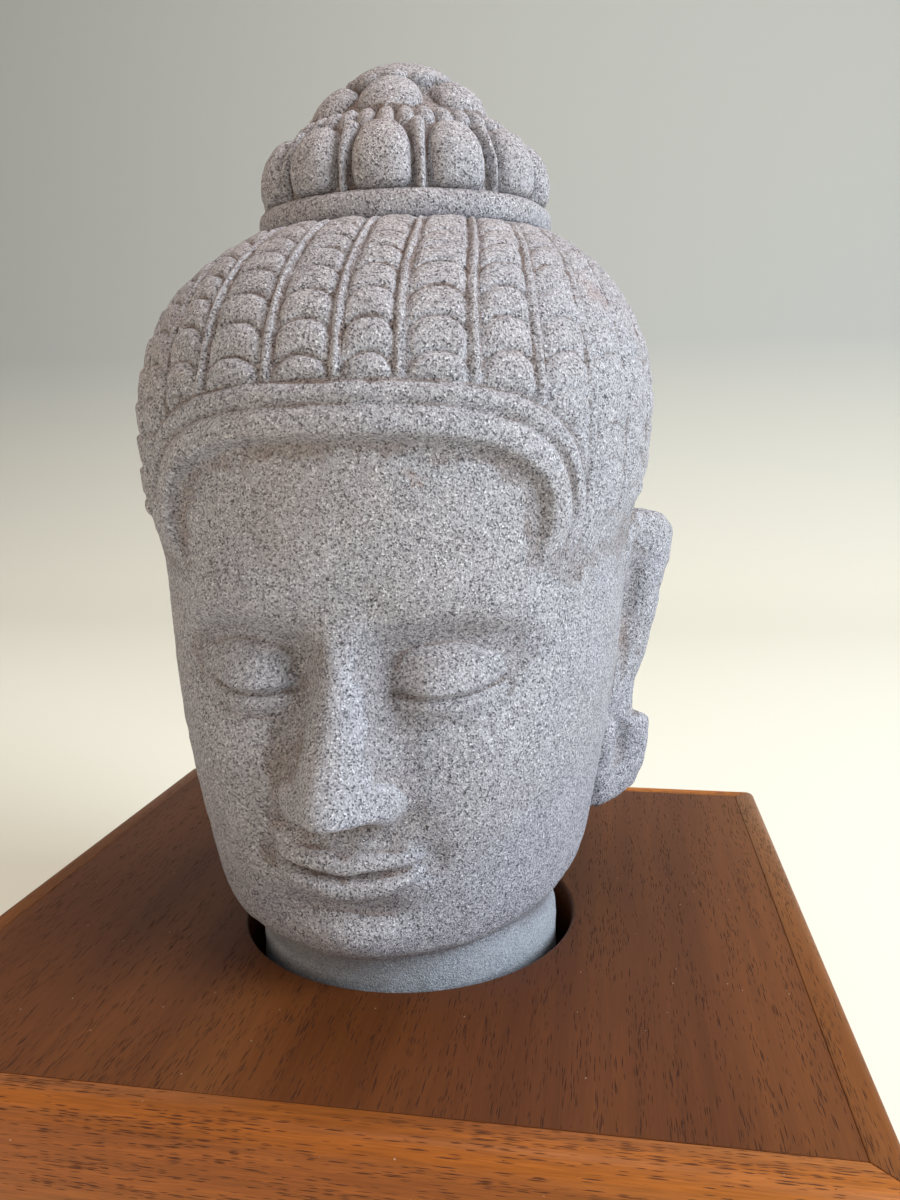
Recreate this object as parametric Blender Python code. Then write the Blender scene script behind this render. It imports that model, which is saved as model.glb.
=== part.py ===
"""Stone buddha head that stands by its neck stub in the oval recess of a mitred wooden stand.

Metres, +Z up. The origin is under the middle of the stand, on the floor. The head faces -Y.
"""

import math

import bmesh
import bpy
import numpy as np

MM = 0.001
TINY = 1e-9

# Stand: a panel with four mitred edge boards round it
STAND_WIDTH = 192 * MM
STAND_DEPTH = 172 * MM
STAND_HEIGHT = 42 * MM
EDGE_THICKNESS = 7 * MM
EDGE_ROUND = 4 * MM
EDGE_ROUND_STEPS = 4
JOINT_GAP = 0.3 * MM

# Neck stub, and the recess that takes it
NECK_WIDTH = 70 * MM
NECK_DEPTH = 70 * MM
NECK_OFFSET = -5.4 * MM
NECK_SHIFT = 2.5 * MM
NECK_CHAMFER = 1.5 * MM
RECESS_DEPTH = 25 * MM
RECESS_CLEARANCE = 3.8 * MM
RECESS_SIDES = 48

# Head: U is the carving's unit, a 196th of the head's height above the stand
HEAD_HEIGHT = 196 * MM
U = HEAD_HEIGHT / 196
LEAN = math.radians(4)
LEAN_FULL_HEIGHT = 34 * U
NECK_BLEND_HEIGHT = 8 * U

# Sections of the bare head, from the throat to the top of the bun, in U above the stand:
# (front height, back height, front reach, back reach, half width, squareness).
# From the temples down to the chin the half width narrows by a sixth, as in an egg, over an upright front.
SECTIONS = (
    (6.7, 18, -41.0, 36, 39.5, 2.0),
    (7.7, 24, -44.5, 50, 42.0, 2.0),
    (11.2, 31.5, -47.0, 61, 44.6, 2.05),
    (18, 40, -47.5, 69, 46.0, 2.15),
    (29.5, 50.5, -47.5, 75, 48.0, 2.2),
    (44, 62, -47.5, 79, 50.1, 2.25),
    (60, 74, -47.5, 81, 51.8, 2.3),
    (75, 85, -47.5, 82, 52.7, 2.3),
    (90, 96, -48.0, 82.3, 53.0, 2.25),
    (105, 106, -47.2, 82, 55.3, 2.15),
    (120, 118, -46.5, 81, 56.3, 2.05),
    (129, 127, -44.0, 80, 55.0, 2.0),
    (136.5, 136, -39.5, 78, 51.9, 2.0),
    (142.5, 142.5, -33.0, 75, 48.2, 2.0),
    (148, 148, -24.0, 71, 43.3, 2.0),
    (152.5, 152.5, -15.0, 66, 37.3, 2.0),
    (156.2, 156.2, -5.5, 59.5, 32.5, 2.0),
    (158, 158, -6.0, 60.0, 33.0, 2.0),
    (160.6, 160.6, -6.0, 60.0, 33.0, 2.0),
    (162.4, 162.4, -3.6, 57.6, 30.6, 2.0),
    (167.5, 167.5, -3.6, 57.6, 30.6, 2.0),
    (173, 173, -1.2, 55.2, 28.2, 2.0),
    (176.5, 176.5, 1.6, 52.4, 25.4, 2.0),
    (179.3, 179.3, 4.6, 49.4, 22.4, 2.0),
    (181.8, 181.8, 8.5, 45.5, 18.5, 2.0),
    (184.5, 184.5, 12.0, 42.0, 15.0, 2.0),
    (187.2, 187.2, 14.6, 39.4, 12.4, 2.0),
    (188.6, 188.6, 14.3, 39.7, 12.7, 2.0),
    (190.3, 190.3, 14.7, 39.3, 12.3, 2.0),
    (192.4, 192.4, 17.2, 36.8, 9.8, 2.0),
    (193.9, 193.9, 21.0, 33.0, 6.0, 2.0),
    (194.6, 194.6, 27.0, 27, 0.0, 2.0),
)

# Hairline: an arch over the forehead, whose sides run down the temples
HAIRLINE_HALF_WIDTH = 39.5 * U
HAIRLINE_CENTRE = 95 * U
HAIRLINE_RISE = 18.1 * U
HAIRLINE_TURN = math.radians(1.5)
HAIRLINE_POWER = 2.8
HAIRLINE_FADE = (86 * U, 99 * U)
HAIR_RADIUS = 58.5 * U
HAIR_LIFT = 1.8 * U
HAIR_EDGE = 1.8 * U
HAIR_EAR_ANGLE = math.radians(103)
HAIR_EAR_TURN = math.radians(1.2)
NAPE_HEIGHT = 34 * U
TEMPLE_HEIGHT = 97 * U

# Band of the hair: a roll on the hairline and a fillet above it
ROLL_WIDTH = 6.6 * U
ROLL_HEIGHT = 1.2 * U
FILLET_WIDTH = 3.8 * U
FILLET_HEIGHT = 0.9 * U
BAND_GROOVE = 0.6 * U

# Locks: columns between ribs, in rows of scallops. The ribs are unevenly spaced by hand, here
# as degrees on the hairline, and sweep back towards the bun.
RIB_DEGREES = (
    -180, -167.2, -154, -141, -128.7, -115, -102.6, -89, -76.4, -63, -50.6, -38.5, -26, -11,
    1.8, 12.8, 26.2, 38.8, 51.3, 64, 77.4, 90, 103.5, 116, 129.3, 142, 154.7, 167.5, 180,
)
RIB_SWEEP = 0.32
RIB_SWEEP_HEIGHT = 118 * U
RIB_SHARE = 0.085
RIB_HEIGHT = 0.75 * U
LOCK_HEIGHT = 1.0 * U
LOCK_GROOVE = 0.85 * U
LOCK_GROOVE_HALF = 0.55 * U
LOCK_PITCH = 6.5 * U
LOCK_ARCH = 0.38
LOCK_START_HEIGHT = 118 * U
COLLAR_BASE_HEIGHT = 156.2 * U
WORN_FROM, WORN_TO = math.radians(32), math.radians(52)
WHOLE_FROM, WHOLE_TO = math.radians(100), math.radians(120)
WORN_SHARE = 0.45

# Bun: a collar, petals and darts, knobs, small petals and a lobed cap
COLLAR_CENTRE = 159.3 * U
COLLAR_HALF = 2.9 * U
COLLAR_HEIGHT = 1.6 * U
BUN_BASE_HEIGHT = 162.4 * U
PETAL_COUNT = 12
PETAL_TURN = math.radians(2.9)
PETAL_LENGTH = 13.8 * U
PETAL_SHARE = 0.375
PETAL_TAPER = 0.08
PETAL_HEIGHT = 3.6 * U
DART_SHARE, DART_SPREAD = 0.05, 0.06
DART_HEIGHT = 2.4 * U
KNOB_COUNT = 36
KNOB_CENTRE = BUN_BASE_HEIGHT + PETAL_LENGTH + 1.8 * U
KNOB_HALF = 2.2 * U
KNOB_HEIGHT = 1.7 * U
SMALL_PETAL_COUNT = 6
SMALL_PETAL_CENTRE = KNOB_CENTRE + 6.0 * U
SMALL_PETAL_HALF = 4.3 * U
SMALL_PETAL_HEIGHT = 4.0 * U
CAP_LOBE_COUNT = 12
CAP_LOBE_CENTRE = SMALL_PETAL_CENTRE + 5.2 * U
CAP_LOBE_HALF = 1.5 * U
CAP_LOBE_HEIGHT = 0.9 * U

# Face: five eye widths across, a head of seven and a half of them from the bun to the chin, and
# equal thirds from the hairline to the chin
EYE_WIDTH = 19.6 * U
HEAD_IN_EYES = 7.5
CHIN_HEIGHT = COLLAR_BASE_HEIGHT - HEAD_IN_EYES * EYE_WIDTH
FACE_THIRD = (HAIRLINE_CENTRE + HAIRLINE_RISE - CHIN_HEIGHT) / 3
NOSE_BASE_HEIGHT = CHIN_HEIGHT + FACE_THIRD
BROW_HEIGHT = CHIN_HEIGHT + 2 * FACE_THIRD
EYE_HEIGHT = BROW_HEIGHT - FACE_THIRD / 4
MOUTH_HEIGHT = NOSE_BASE_HEIGHT - FACE_THIRD / 3
MOUTH_WIDTH = 1.55 * EYE_WIDTH
NOSE_RISE = 14.5 * U

# Ears: long, flared back from the side of the head, with a broken lobe
EAR_TOP_HEIGHT = 93.5 * U
EAR_BOTTOM_HEIGHT = 21.5 * U
EAR_ROOT_X = 45.5 * U
EAR_ROOT_Y = 8.0 * U
EAR_FLARE = math.radians(42)
EAR_THICKNESS = 4.0 * U

# Mesh fineness
HEAD_COLUMNS = 384
HEAD_ROWS = 360
HEAD_TRIANGLES = 8200
EAR_COLUMNS = 20
EAR_ROWS = 16

STONE_COLOUR = (0.42, 0.38, 0.37)
PANEL_COLOUR = (0.20, 0.085, 0.040)
EDGE_COLOUR = (0.30, 0.125, 0.050)


def step(low, high, value):
    """Smooth rise from 0 at low to 1 at high."""
    share = np.clip((value - low) / (high - low), 0, 1)
    return share * share * (3 - 2 * share)


def swell(value, half):
    """Soft hump, 1 at 0 and falling away over half."""
    return np.exp(-((value / half) ** 2))


def dome(radius_share):
    """Round hump over a radius share of 0 to 1, with a full edge."""
    return np.sqrt(np.clip(1 - radius_share**2, 0, 1))


def slopes(knots, values):
    """Slopes of a curve through the values that never overshoots them."""
    chords = np.diff(values) / np.diff(knots)
    inner = np.zeros(len(values) - 2)
    same = chords[:-1] * chords[1:] > 0
    inner[same] = 2 / (1 / chords[:-1][same] + 1 / chords[1:][same])
    return np.concatenate(([chords[0]], inner, [chords[-1]]))


def curve(at, knots, values):
    """Smooth curve through the values at the knots."""
    tangent = slopes(knots, values)
    i = np.clip(np.searchsorted(knots, at, side="right") - 1, 0, len(knots) - 2)
    span = knots[i + 1] - knots[i]
    share = (at - knots[i]) / span
    square, cube = share**2, share**3
    return (
        values[i] * (2 * cube - 3 * square + 1)
        + values[i + 1] * (3 * square - 2 * cube)
        + tangent[i] * span * (cube - 2 * square + share)
        + tangent[i + 1] * span * (cube - square)
    )


def head_sections():
    """All sections in metres: the neck stub from its foot up, then the head."""
    foot = -RECESS_DEPTH + JOINT_GAP
    front, back = NECK_OFFSET - NECK_DEPTH / 2, NECK_OFFSET + NECK_DEPTH / 2
    half, edge = NECK_WIDTH / 2, NECK_CHAMFER
    neck = [
        (foot, foot, NECK_OFFSET, NECK_OFFSET, 0, 2),
        (foot, foot, front + edge, back - edge, half - edge, 2),
        (foot + edge, foot + edge, front, back, half, 2),
        (0, 4 * U, front, back, half, 2),
    ]
    head = [tuple(value * U for value in row[:5]) + row[5:] for row in SECTIONS]
    return np.array(neck + head)


class Blank:
    """The bare head: a loft through the sections, read by azimuth and by height share."""

    def __init__(self):
        self.rows = head_sections()
        front = np.hypot(np.diff(self.rows[:, 0]), np.diff(self.rows[:, 2]))
        side = np.hypot(np.diff(self.rows[:, :2].mean(axis=1)), np.diff(self.rows[:, 4]))
        back = np.hypot(np.diff(self.rows[:, 1]), np.diff(self.rows[:, 3]))
        self.lengths = [np.concatenate(([0], np.cumsum(run))) for run in (front, side, back)]
        self.knots = (self.lengths[0] + self.lengths[1]) / 2
        self.start = self.knot_at(LOCK_START_HEIGHT)

    def knot_at(self, height):
        """Place along the loft of a section at this mean height."""
        return np.interp(height, self.rows[:, :2].mean(axis=1), self.knots)

    def point(self, azimuth, along):
        """Point of the loft. Azimuth 0 is the front and +90 degrees the +X side."""
        low_z, high_z, low_y, high_y, half, power = (
            curve(along, self.knots, column) for column in self.rows.T
        )
        depth = (high_y - low_y) / 2
        across, forward = half * np.sin(azimuth), depth * np.cos(azimuth)
        size = np.maximum(np.hypot(across, forward), TINY)
        sine, cosine = across / size, forward / size
        half, depth = np.maximum(half, TINY), np.maximum(depth, TINY)
        spread = (np.abs(sine) / half) ** power + (np.abs(cosine) / depth) ** power
        reach = np.maximum(spread, TINY) ** (-1 / power) * (size > 2 * TINY)
        share = reach * cosine / depth
        y = (low_y + high_y) / 2 - share * depth
        z = (low_z + high_z) / 2 - share * (high_z - low_z) / 2
        return np.stack((reach * sine, y, z), axis=-1)

    def normal(self, azimuth, along):
        """Outward direction of the loft, from small steps both ways."""
        turn, rise = 1e-3, 1e-4
        round_it = self.point(azimuth + turn, along) - self.point(azimuth - turn, along)
        top = self.knots[-1]
        up_it = self.point(azimuth, np.clip(along + rise, 0, top))
        up_it = up_it - self.point(azimuth, np.clip(along - rise, 0, top))
        out = np.cross(round_it, up_it)
        return out / np.maximum(np.linalg.norm(out, axis=-1, keepdims=True), 1e-15)

    def climb(self, azimuth, along):
        """Distance up the surface from where the locks start."""
        front, side, back = (
            np.interp(along, self.knots, run) - np.interp(self.start, self.knots, run)
            for run in self.lengths
        )
        ahead = np.cos(azimuth)
        return np.where(
            ahead > 0, side + (front - side) * ahead**2, side + (back - side) * ahead**2
        )


def hairline_distance(azimuth, height):
    """Distance outside the arched hairline, negative on the face."""
    across = np.abs(azimuth - HAIRLINE_TURN) * HAIR_RADIUS / HAIRLINE_HALF_WIDTH
    above = np.maximum(height - HAIRLINE_CENTRE, 0) / HAIRLINE_RISE
    ring = (across**HAIRLINE_POWER + above**HAIRLINE_POWER) ** (1 / HAIRLINE_POWER)
    ring = np.maximum(ring, TINY)
    power = HAIRLINE_POWER - 1
    slope = np.hypot(
        (across / ring) ** power / HAIRLINE_HALF_WIDTH,
        (above / ring) ** power / HAIRLINE_RISE,
    )
    return (ring - 1) / np.maximum(slope, TINY)


def lower_edge(azimuth):
    """Height of the hair's lower edge: over the ears, then down to the nape."""
    behind = step(HAIR_EAR_ANGLE - HAIR_EAR_TURN, HAIR_EAR_ANGLE + HAIR_EAR_TURN, np.abs(azimuth))
    return TEMPLE_HEIGHT + (NAPE_HEIGHT - TEMPLE_HEIGHT) * behind


def rib_column(azimuth, height):
    """Place between the ribs, as a count of them: a whole number is on a rib."""
    share = (height - RIB_SWEEP_HEIGHT) / (COLLAR_BASE_HEIGHT - RIB_SWEEP_HEIGHT)
    at_hairline = azimuth - RIB_SWEEP * np.clip(share, 0, 1) ** 3 * np.sin(azimuth)
    return np.interp(at_hairline, np.radians(RIB_DEGREES), np.arange(len(RIB_DEGREES)))


def locks(azimuth, climb, height):
    """Ribs, and locks between them like tiles with round upper ends, as height over the hair."""
    column = rib_column(azimuth, height)
    off_rib = np.abs(column - np.round(column))
    rib = (RIB_HEIGHT + LOCK_GROOVE) * dome(np.minimum(off_rib / RIB_SHARE, 1)) ** 0.8
    across = np.clip((0.5 - off_rib) / (0.5 - 1.2 * RIB_SHARE), 0, 1)
    row = climb / LOCK_PITCH - LOCK_ARCH * (1 - across**2.2)
    up = row - np.floor(row)
    to_groove = np.minimum(up, 1 - up) * LOCK_PITCH
    tile = 0.3 + 0.35 * (1 - across**2) + 0.35 * step(0, 0.9, up)
    lock = (LOCK_GROOVE + LOCK_HEIGHT * tile) * (1 - across**8) ** 0.6
    lock = lock - 1.3 * LOCK_GROOVE * swell(to_groove, LOCK_GROOVE_HALF)
    carved = np.maximum(rib, np.maximum(lock, 0)) - LOCK_GROOVE
    worn = step(WORN_FROM, WORN_TO, azimuth) * (1 - step(WHOLE_FROM, WHOLE_TO, azimuth))
    return carved * (1 - (1 - WORN_SHARE) * worn)


def band(distance):
    """Roll and fillet along the hairline, as height over the hair."""
    roll = ROLL_HEIGHT * dome(np.clip(np.abs(2 * distance / ROLL_WIDTH - 1), 0, 1))
    middle = ROLL_WIDTH + FILLET_WIDTH / 2
    fillet = FILLET_HEIGHT * dome(np.clip(np.abs(2 * (distance - middle) / FILLET_WIDTH), 0, 1))
    grooves = swell(distance - ROLL_WIDTH, 0.8 * U)
    grooves = grooves + swell(distance - ROLL_WIDTH - FILLET_WIDTH, 0.7 * U)
    return roll + fillet - BAND_GROOVE * grooves


def hair(azimuth, climb, point):
    """Height of the hair, its band and its locks over the bare head."""
    height = point[:, 2]
    distance = hairline_distance(azimuth, height)
    down = step(*HAIRLINE_FADE, height)
    behind = step(HAIR_EAR_ANGLE - HAIR_EAR_TURN, HAIR_EAR_ANGLE + HAIR_EAR_TURN, np.abs(azimuth))
    over_nape = step(NAPE_HEIGHT - 1.2 * U, NAPE_HEIGHT, height)
    below_bun = 1 - step(COLLAR_BASE_HEIGHT - 1.5 * U, COLLAR_BASE_HEIGHT, height)
    lifted = step(0, HAIR_EDGE, distance) * down
    lifted = np.maximum(lifted, behind * over_nape) * below_bun
    banded = band(distance) * lifted * (1 - behind) * down
    locked = step(ROLL_WIDTH + FILLET_WIDTH, ROLL_WIDTH + FILLET_WIDTH + U, distance)
    edge = lower_edge(azimuth)
    locked = np.where(np.abs(azimuth) > HAIR_EAR_ANGLE, 1, locked) * step(edge, edge + 1.5 * U, height)
    locked = locked * (1 - step(COLLAR_BASE_HEIGHT - 2.5 * U, COLLAR_BASE_HEIGHT - U, height))
    return HAIR_LIFT * lifted + banded + locks(azimuth, climb, height) * locked


def round_row(azimuth, height, count, turn, centre, half, share):
    """Radius share within the nearest of a ring of round lumps."""
    place = (azimuth - turn) * count / (2 * math.pi)
    off = np.abs(place - np.round(place))
    return np.sqrt((off / share) ** 2 + ((height - centre) / half) ** 2)


def bun(azimuth, point):
    """Collar, petals with darts between them, knobs, small petals and the lobed cap."""
    height = point[:, 2]
    collar = COLLAR_HEIGHT * dome(np.clip(np.abs(height - COLLAR_CENTRE) / COLLAR_HALF, 0, 1))
    half = PETAL_LENGTH / 2
    up = (height - BUN_BASE_HEIGHT - half) / half
    place = (azimuth - PETAL_TURN) * PETAL_COUNT / (2 * math.pi)
    off = np.abs(place - np.round(place))
    share = PETAL_SHARE * (1 - PETAL_TAPER * step(0, 1, up))
    end = np.where(up > 0, np.abs(up) ** 3.4, np.abs(up) ** 6)
    petals = PETAL_HEIGHT * dome(np.sqrt(np.clip((off / share) ** 2.6 + end, 0, 1)))
    dart_share = DART_SHARE + DART_SPREAD * step(-0.3, 1, up)
    dart = DART_HEIGHT * dome(np.clip((0.5 - off) / dart_share, 0, 1)) * (np.abs(up) < 1)
    lumps = np.zeros(len(height))
    for count, centre, half, share, rise in (
        (KNOB_COUNT, KNOB_CENTRE, KNOB_HALF, 0.46, KNOB_HEIGHT),
        (SMALL_PETAL_COUNT, SMALL_PETAL_CENTRE, SMALL_PETAL_HALF, 0.42, SMALL_PETAL_HEIGHT),
        (CAP_LOBE_COUNT, CAP_LOBE_CENTRE, CAP_LOBE_HALF, 0.44, CAP_LOBE_HEIGHT),
    ):
        lumps += rise * dome(round_row(azimuth, height, count, PETAL_TURN, centre, half, share))
    return collar + np.maximum(petals, dart) + lumps


def eye(x, z):
    """Lowered lids over a round eye, in a shallow socket."""
    across, up = (np.abs(x) - EYE_WIDTH), z - EYE_HEIGHT
    socket = -4.6 * U * swell(across, 14 * U) * swell(up - 3.0 * U, 9.0 * U)
    inner = -2.4 * U * swell(np.abs(x) - 8.5 * U, 4.5 * U) * swell(up - 1.5 * U, 7.5 * U)
    ball_share = np.hypot(across / (12.6 * U), (up + 0.4 * U) / (8.6 * U))
    ball = 5.0 * U * np.clip(1 - ball_share**2, 0, 1) ** 1.6
    along = across / (EYE_WIDTH * 0.53)
    within = np.clip(1 - along**2, 0, 1)
    line = up + 1.6 * U + 2.0 * U * within - 0.5 * U * along
    lid = within**0.4
    lash = -0.9 * U * swell(line, 0.7 * U) * lid
    upper = 0.8 * U * np.exp(-np.clip(line, 0, None) / (3.0 * U)) * step(-0.2 * U, 0.4 * U, line) * lid
    crease = up - 3.6 * U - 2.6 * U * within
    fold = -0.55 * U * swell(crease, 0.9 * U) * within**0.5
    lower = 0.45 * U * swell(line + 2.2 * U, 1.3 * U) * lid
    return socket + inner + ball + lash + upper + fold + lower


def brow(x, z):
    """Arched brow from the root of the nose to the temple."""
    side = np.abs(x)
    arch = BROW_HEIGHT + 3.4 * U - 8.0 * U * ((side - 21 * U) / (24 * U)) ** 2
    away = z - arch
    half = np.where(away > 0, 7.5 * U, 3.0 * U)
    reach = step(-4 * U, 18 * U, side) * (1 - step(28 * U, 46 * U, side))
    return 1.8 * U * swell(away, half) * reach


def nose(x, z):
    """Straight bridge, round tip, wings and nostrils."""
    root, tip = BROW_HEIGHT - 2 * U, NOSE_BASE_HEIGHT + 6.0 * U
    along = np.clip((root - z) / (root - tip), 0, 1)
    rise = NOSE_RISE * (0.16 + 0.84 * along**1.15)
    half = (5.6 + 3.6 * along**2) * U
    under = step(NOSE_BASE_HEIGHT - 1.2 * U, NOSE_BASE_HEIGHT + 4.0 * U, z)
    above = 1 - step(root - 4 * U, root + 11 * U, z)
    ridge = rise * np.exp(-(np.abs(x / half) ** 2.5)) * under * above
    wing_x, wing_z = (np.abs(x) - 7.6 * U) / (4.8 * U), (z - NOSE_BASE_HEIGHT - 3.6 * U) / (5.2 * U)
    wings = 7.4 * U * np.clip(1 - wing_x**2 - wing_z**2, 0, 1) ** 0.6
    hole_x, hole_z = (np.abs(x) - 4.6 * U) / (2.1 * U), (z - NOSE_BASE_HEIGHT - 0.4 * U) / (1.3 * U)
    nostrils = -3.0 * U * np.exp(-(hole_x**2) - hole_z**2)
    ball = 1.3 * U * swell(np.hypot(x, z - tip), 6 * U)
    return (ridge**3 + wings**3) ** (1 / 3) + nostrils + ball


def mouth(x, z):
    """Two closed lips on a gentle swell, with a groove over them and a fold under them."""
    side = np.abs(x) / (MOUTH_WIDTH / 2)
    within = np.clip(1 - side**2, 0, 1)
    line = z - MOUTH_HEIGHT - 1.5 * U * side**2 + 0.5 * U * swell(x, 3 * U)
    muzzle = 3.4 * U * swell(x, 19 * U) * swell(z - MOUTH_HEIGHT - 1.5 * U, 13 * U)
    upper_full = (4.9 - 0.6 * swell(x / U, 2.6)) * U * within**0.45 + 0.3 * U
    lower_full = 6.0 * U * within**0.5 + 0.3 * U
    upper = 2.1 * U * dome(np.clip(np.abs(2 * line / upper_full - 1), 0, 1)) * (line > 0)
    lower = 2.7 * U * dome(np.clip(np.abs(-2 * line / lower_full - 1), 0, 1)) * (line < 0)
    seam = -1.5 * U * swell(line, 0.8 * U) * within**0.3
    corner = swell(np.hypot(np.abs(x) - MOUTH_WIDTH / 2 - 0.8 * U, z - MOUTH_HEIGHT - 1.5 * U), 2.8 * U)
    groove = swell(x, 2.4 * U) * step(3.5 * U, 5.5 * U, line) * (1 - step(8 * U, 11.5 * U, line))
    fold = swell(x, 12 * U) * swell(z - MOUTH_HEIGHT + 10 * U, 3.2 * U)
    return muzzle + (upper + lower) * within**0.4 + seam - 1.6 * U * corner - 0.7 * U * groove - 2.2 * U * fold


def cheeks_and_chin(x, z):
    """Full cheeks, the fold beside the nose and a round chin."""
    side = np.abs(x)
    cheek = 3.4 * U * swell(side - 27 * U, 14 * U) * swell(z - NOSE_BASE_HEIGHT - 6 * U, 15 * U)
    fold_x = side - 12.5 * U - 0.42 * (NOSE_BASE_HEIGHT + 2 * U - z)
    fold = -0.8 * U * swell(fold_x, 3.4 * U) * swell(z - NOSE_BASE_HEIGHT + 3 * U, 8.0 * U)
    chin = 3.6 * U * swell(x, 11 * U) * swell(z - CHIN_HEIGHT - 6 * U, 6.5 * U)
    return cheek + fold + chin


def face(azimuth, point):
    """Depth of the face's forms, towards the front."""
    x, z = point[:, 0], point[:, 2]
    ahead = 1 - step(math.radians(62), math.radians(82), np.abs(azimuth))
    return (eye(x, z) + brow(x, z) + nose(x, z) + mouth(x, z) + cheeks_and_chin(x, z)) * ahead


def settled(point):
    """The head on its neck: it leans forward, whole above the chin, and the neck sits to one side."""
    angle = LEAN * step(0, LEAN_FULL_HEIGHT, point[:, 2])
    sine, cosine = np.sin(angle), np.cos(angle)
    y = point[:, 1] * cosine - point[:, 2] * sine
    z = point[:, 2] * cosine + point[:, 1] * sine
    x = point[:, 0] + NECK_SHIFT * (1 - step(0, NECK_BLEND_HEIGHT, point[:, 2]))
    return np.stack((x, y, z + STAND_HEIGHT), axis=-1)


def carved_head(azimuth, share):
    """Points of the finished head, by azimuth and by share of the way from foot to top."""
    blank = Blank()
    along = share * blank.knots[-1]
    point = blank.point(azimuth, along)
    relief = hair(azimuth, blank.climb(azimuth, along), point)
    above_collar = step(COLLAR_BASE_HEIGHT - 0.3 * U, COLLAR_BASE_HEIGHT + 0.3 * U, point[:, 2])
    relief = relief + bun(azimuth, point) * above_collar
    carved = point + blank.normal(azimuth, along) * relief[:, None]
    carved[:, 1] -= face(azimuth, point)
    return settled(carved)


def carved_ear(turn, up, side):
    """Points of one ear, by the turn round its plate and by height from -1 to 1."""
    knots = np.array([-1, -0.95, -0.87, -0.6, -0.48, -0.36, -0.28, 0, 0.45, 0.8, 0.93, 1])
    reach = np.array([2, 10, 16, 19.5, 19.5, 13.5, 13.5, 17, 21.5, 25, 21, 12]) * U
    thick = np.array([0.2, 0.7, 1.0, 1.15, 1.05, 0.8, 0.75, 0.85, 1.0, 1.0, 0.8, 0.2]) * EAR_THICKNESS
    far, depth = curve(up, knots, reach), curve(up, knots, thick)
    across = np.sign(np.cos(turn)) * np.abs(np.cos(turn)) ** 0.8
    along_plate = far / 2 * (1 + across)
    outside = np.clip(np.sin(turn), 0, 1)
    out = depth * np.sign(np.sin(turn)) * np.abs(np.sin(turn)) ** 0.7
    hollow = 3.8 * U * swell(across + 0.15, 0.33) * swell(up - 0.40, 0.34)
    broken = 3.2 * U * swell(across + 0.20, 0.33) * swell(up + 0.58, 0.17)
    out = out - (hollow + broken) * outside
    height = EAR_BOTTOM_HEIGHT + (EAR_TOP_HEIGHT - EAR_BOTTOM_HEIGHT) * (up + 1) / 2
    root_x = EAR_ROOT_X + 1.5 * U * up
    root_y = EAR_ROOT_Y + 2.0 * U * up
    x = root_x + along_plate * math.sin(EAR_FLARE) + out * math.cos(EAR_FLARE)
    y = root_y + along_plate * math.cos(EAR_FLARE) - out * math.sin(EAR_FLARE)
    return settled(np.stack((side * x, y, height), axis=-1))


def new_material(name, colour, roughness):
    material = bpy.data.materials.new(name)
    material.use_nodes = True
    shader = material.node_tree.nodes["Principled BSDF"]
    shader.inputs["Base Color"].default_value = (*colour, 1)
    shader.inputs["Roughness"].default_value = roughness
    shader.inputs["Metallic"].default_value = 0
    material.diffuse_color = (*colour, 1)
    return material


def new_object(name, bm, collection, material=None):
    """Object of this bmesh, in the collection."""
    mesh = bpy.data.meshes.new(name)
    bm.to_mesh(mesh)
    bm.free()
    thing = bpy.data.objects.new(name, mesh)
    collection.objects.link(thing)
    if material:
        mesh.materials.append(material)
    return thing


def as_cutter(thing):
    thing.hide_render = True
    thing.display_type = "WIRE"
    return thing


def add_boolean(thing, other, operation):
    modifier = thing.modifiers.new(other.name, "BOOLEAN")
    modifier.operation = operation
    modifier.solver = "EXACT"
    modifier.object = other


def shaped_sphere(name, columns, rows, shape, collection, material=None, mirrored=False):
    """A closed sphere mesh whose points move to shape(azimuth, share from bottom to top)."""
    bm = bmesh.new()
    bmesh.ops.create_uvsphere(bm, u_segments=columns, v_segments=rows, radius=1)
    if mirrored:
        bmesh.ops.reverse_faces(bm, faces=bm.faces)
    thing = new_object(name, bm, collection, material)
    ball = np.empty(3 * len(thing.data.vertices), np.float32)
    thing.data.vertices.foreach_get("co", ball)
    ball = ball.reshape(-1, 3).astype(float)
    azimuth = np.arctan2(ball[:, 0], -ball[:, 1])
    share = np.arctan2(np.hypot(ball[:, 0], ball[:, 1]), -ball[:, 2]) / math.pi
    thing.data.vertices.foreach_set("co", shape(azimuth, share).astype(np.float32).ravel())
    thing.data.update()
    return thing


def build_head(collection, cutters, material):
    """The carved stone: head, bun and neck in one, joined with its two ears."""
    head = shaped_sphere(
        "stone_head", HEAD_COLUMNS, HEAD_ROWS, carved_head, collection, material
    )
    head.data.shade_smooth()
    reduce = head.modifiers.new("fewer triangles", "DECIMATE")
    reduce.ratio = HEAD_TRIANGLES / (2 * HEAD_COLUMNS * (HEAD_ROWS - 1))
    for name, side in (("ear_left", 1), ("ear_right", -1)):

        def shape(azimuth, share, side=side):
            return carved_ear(azimuth, 2 * share - 1, side)

        ear = shaped_sphere(
            name, EAR_COLUMNS, EAR_ROWS, shape, cutters, material, mirrored=side > 0
        )
        add_boolean(head, as_cutter(ear), "UNION")
    return head


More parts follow.
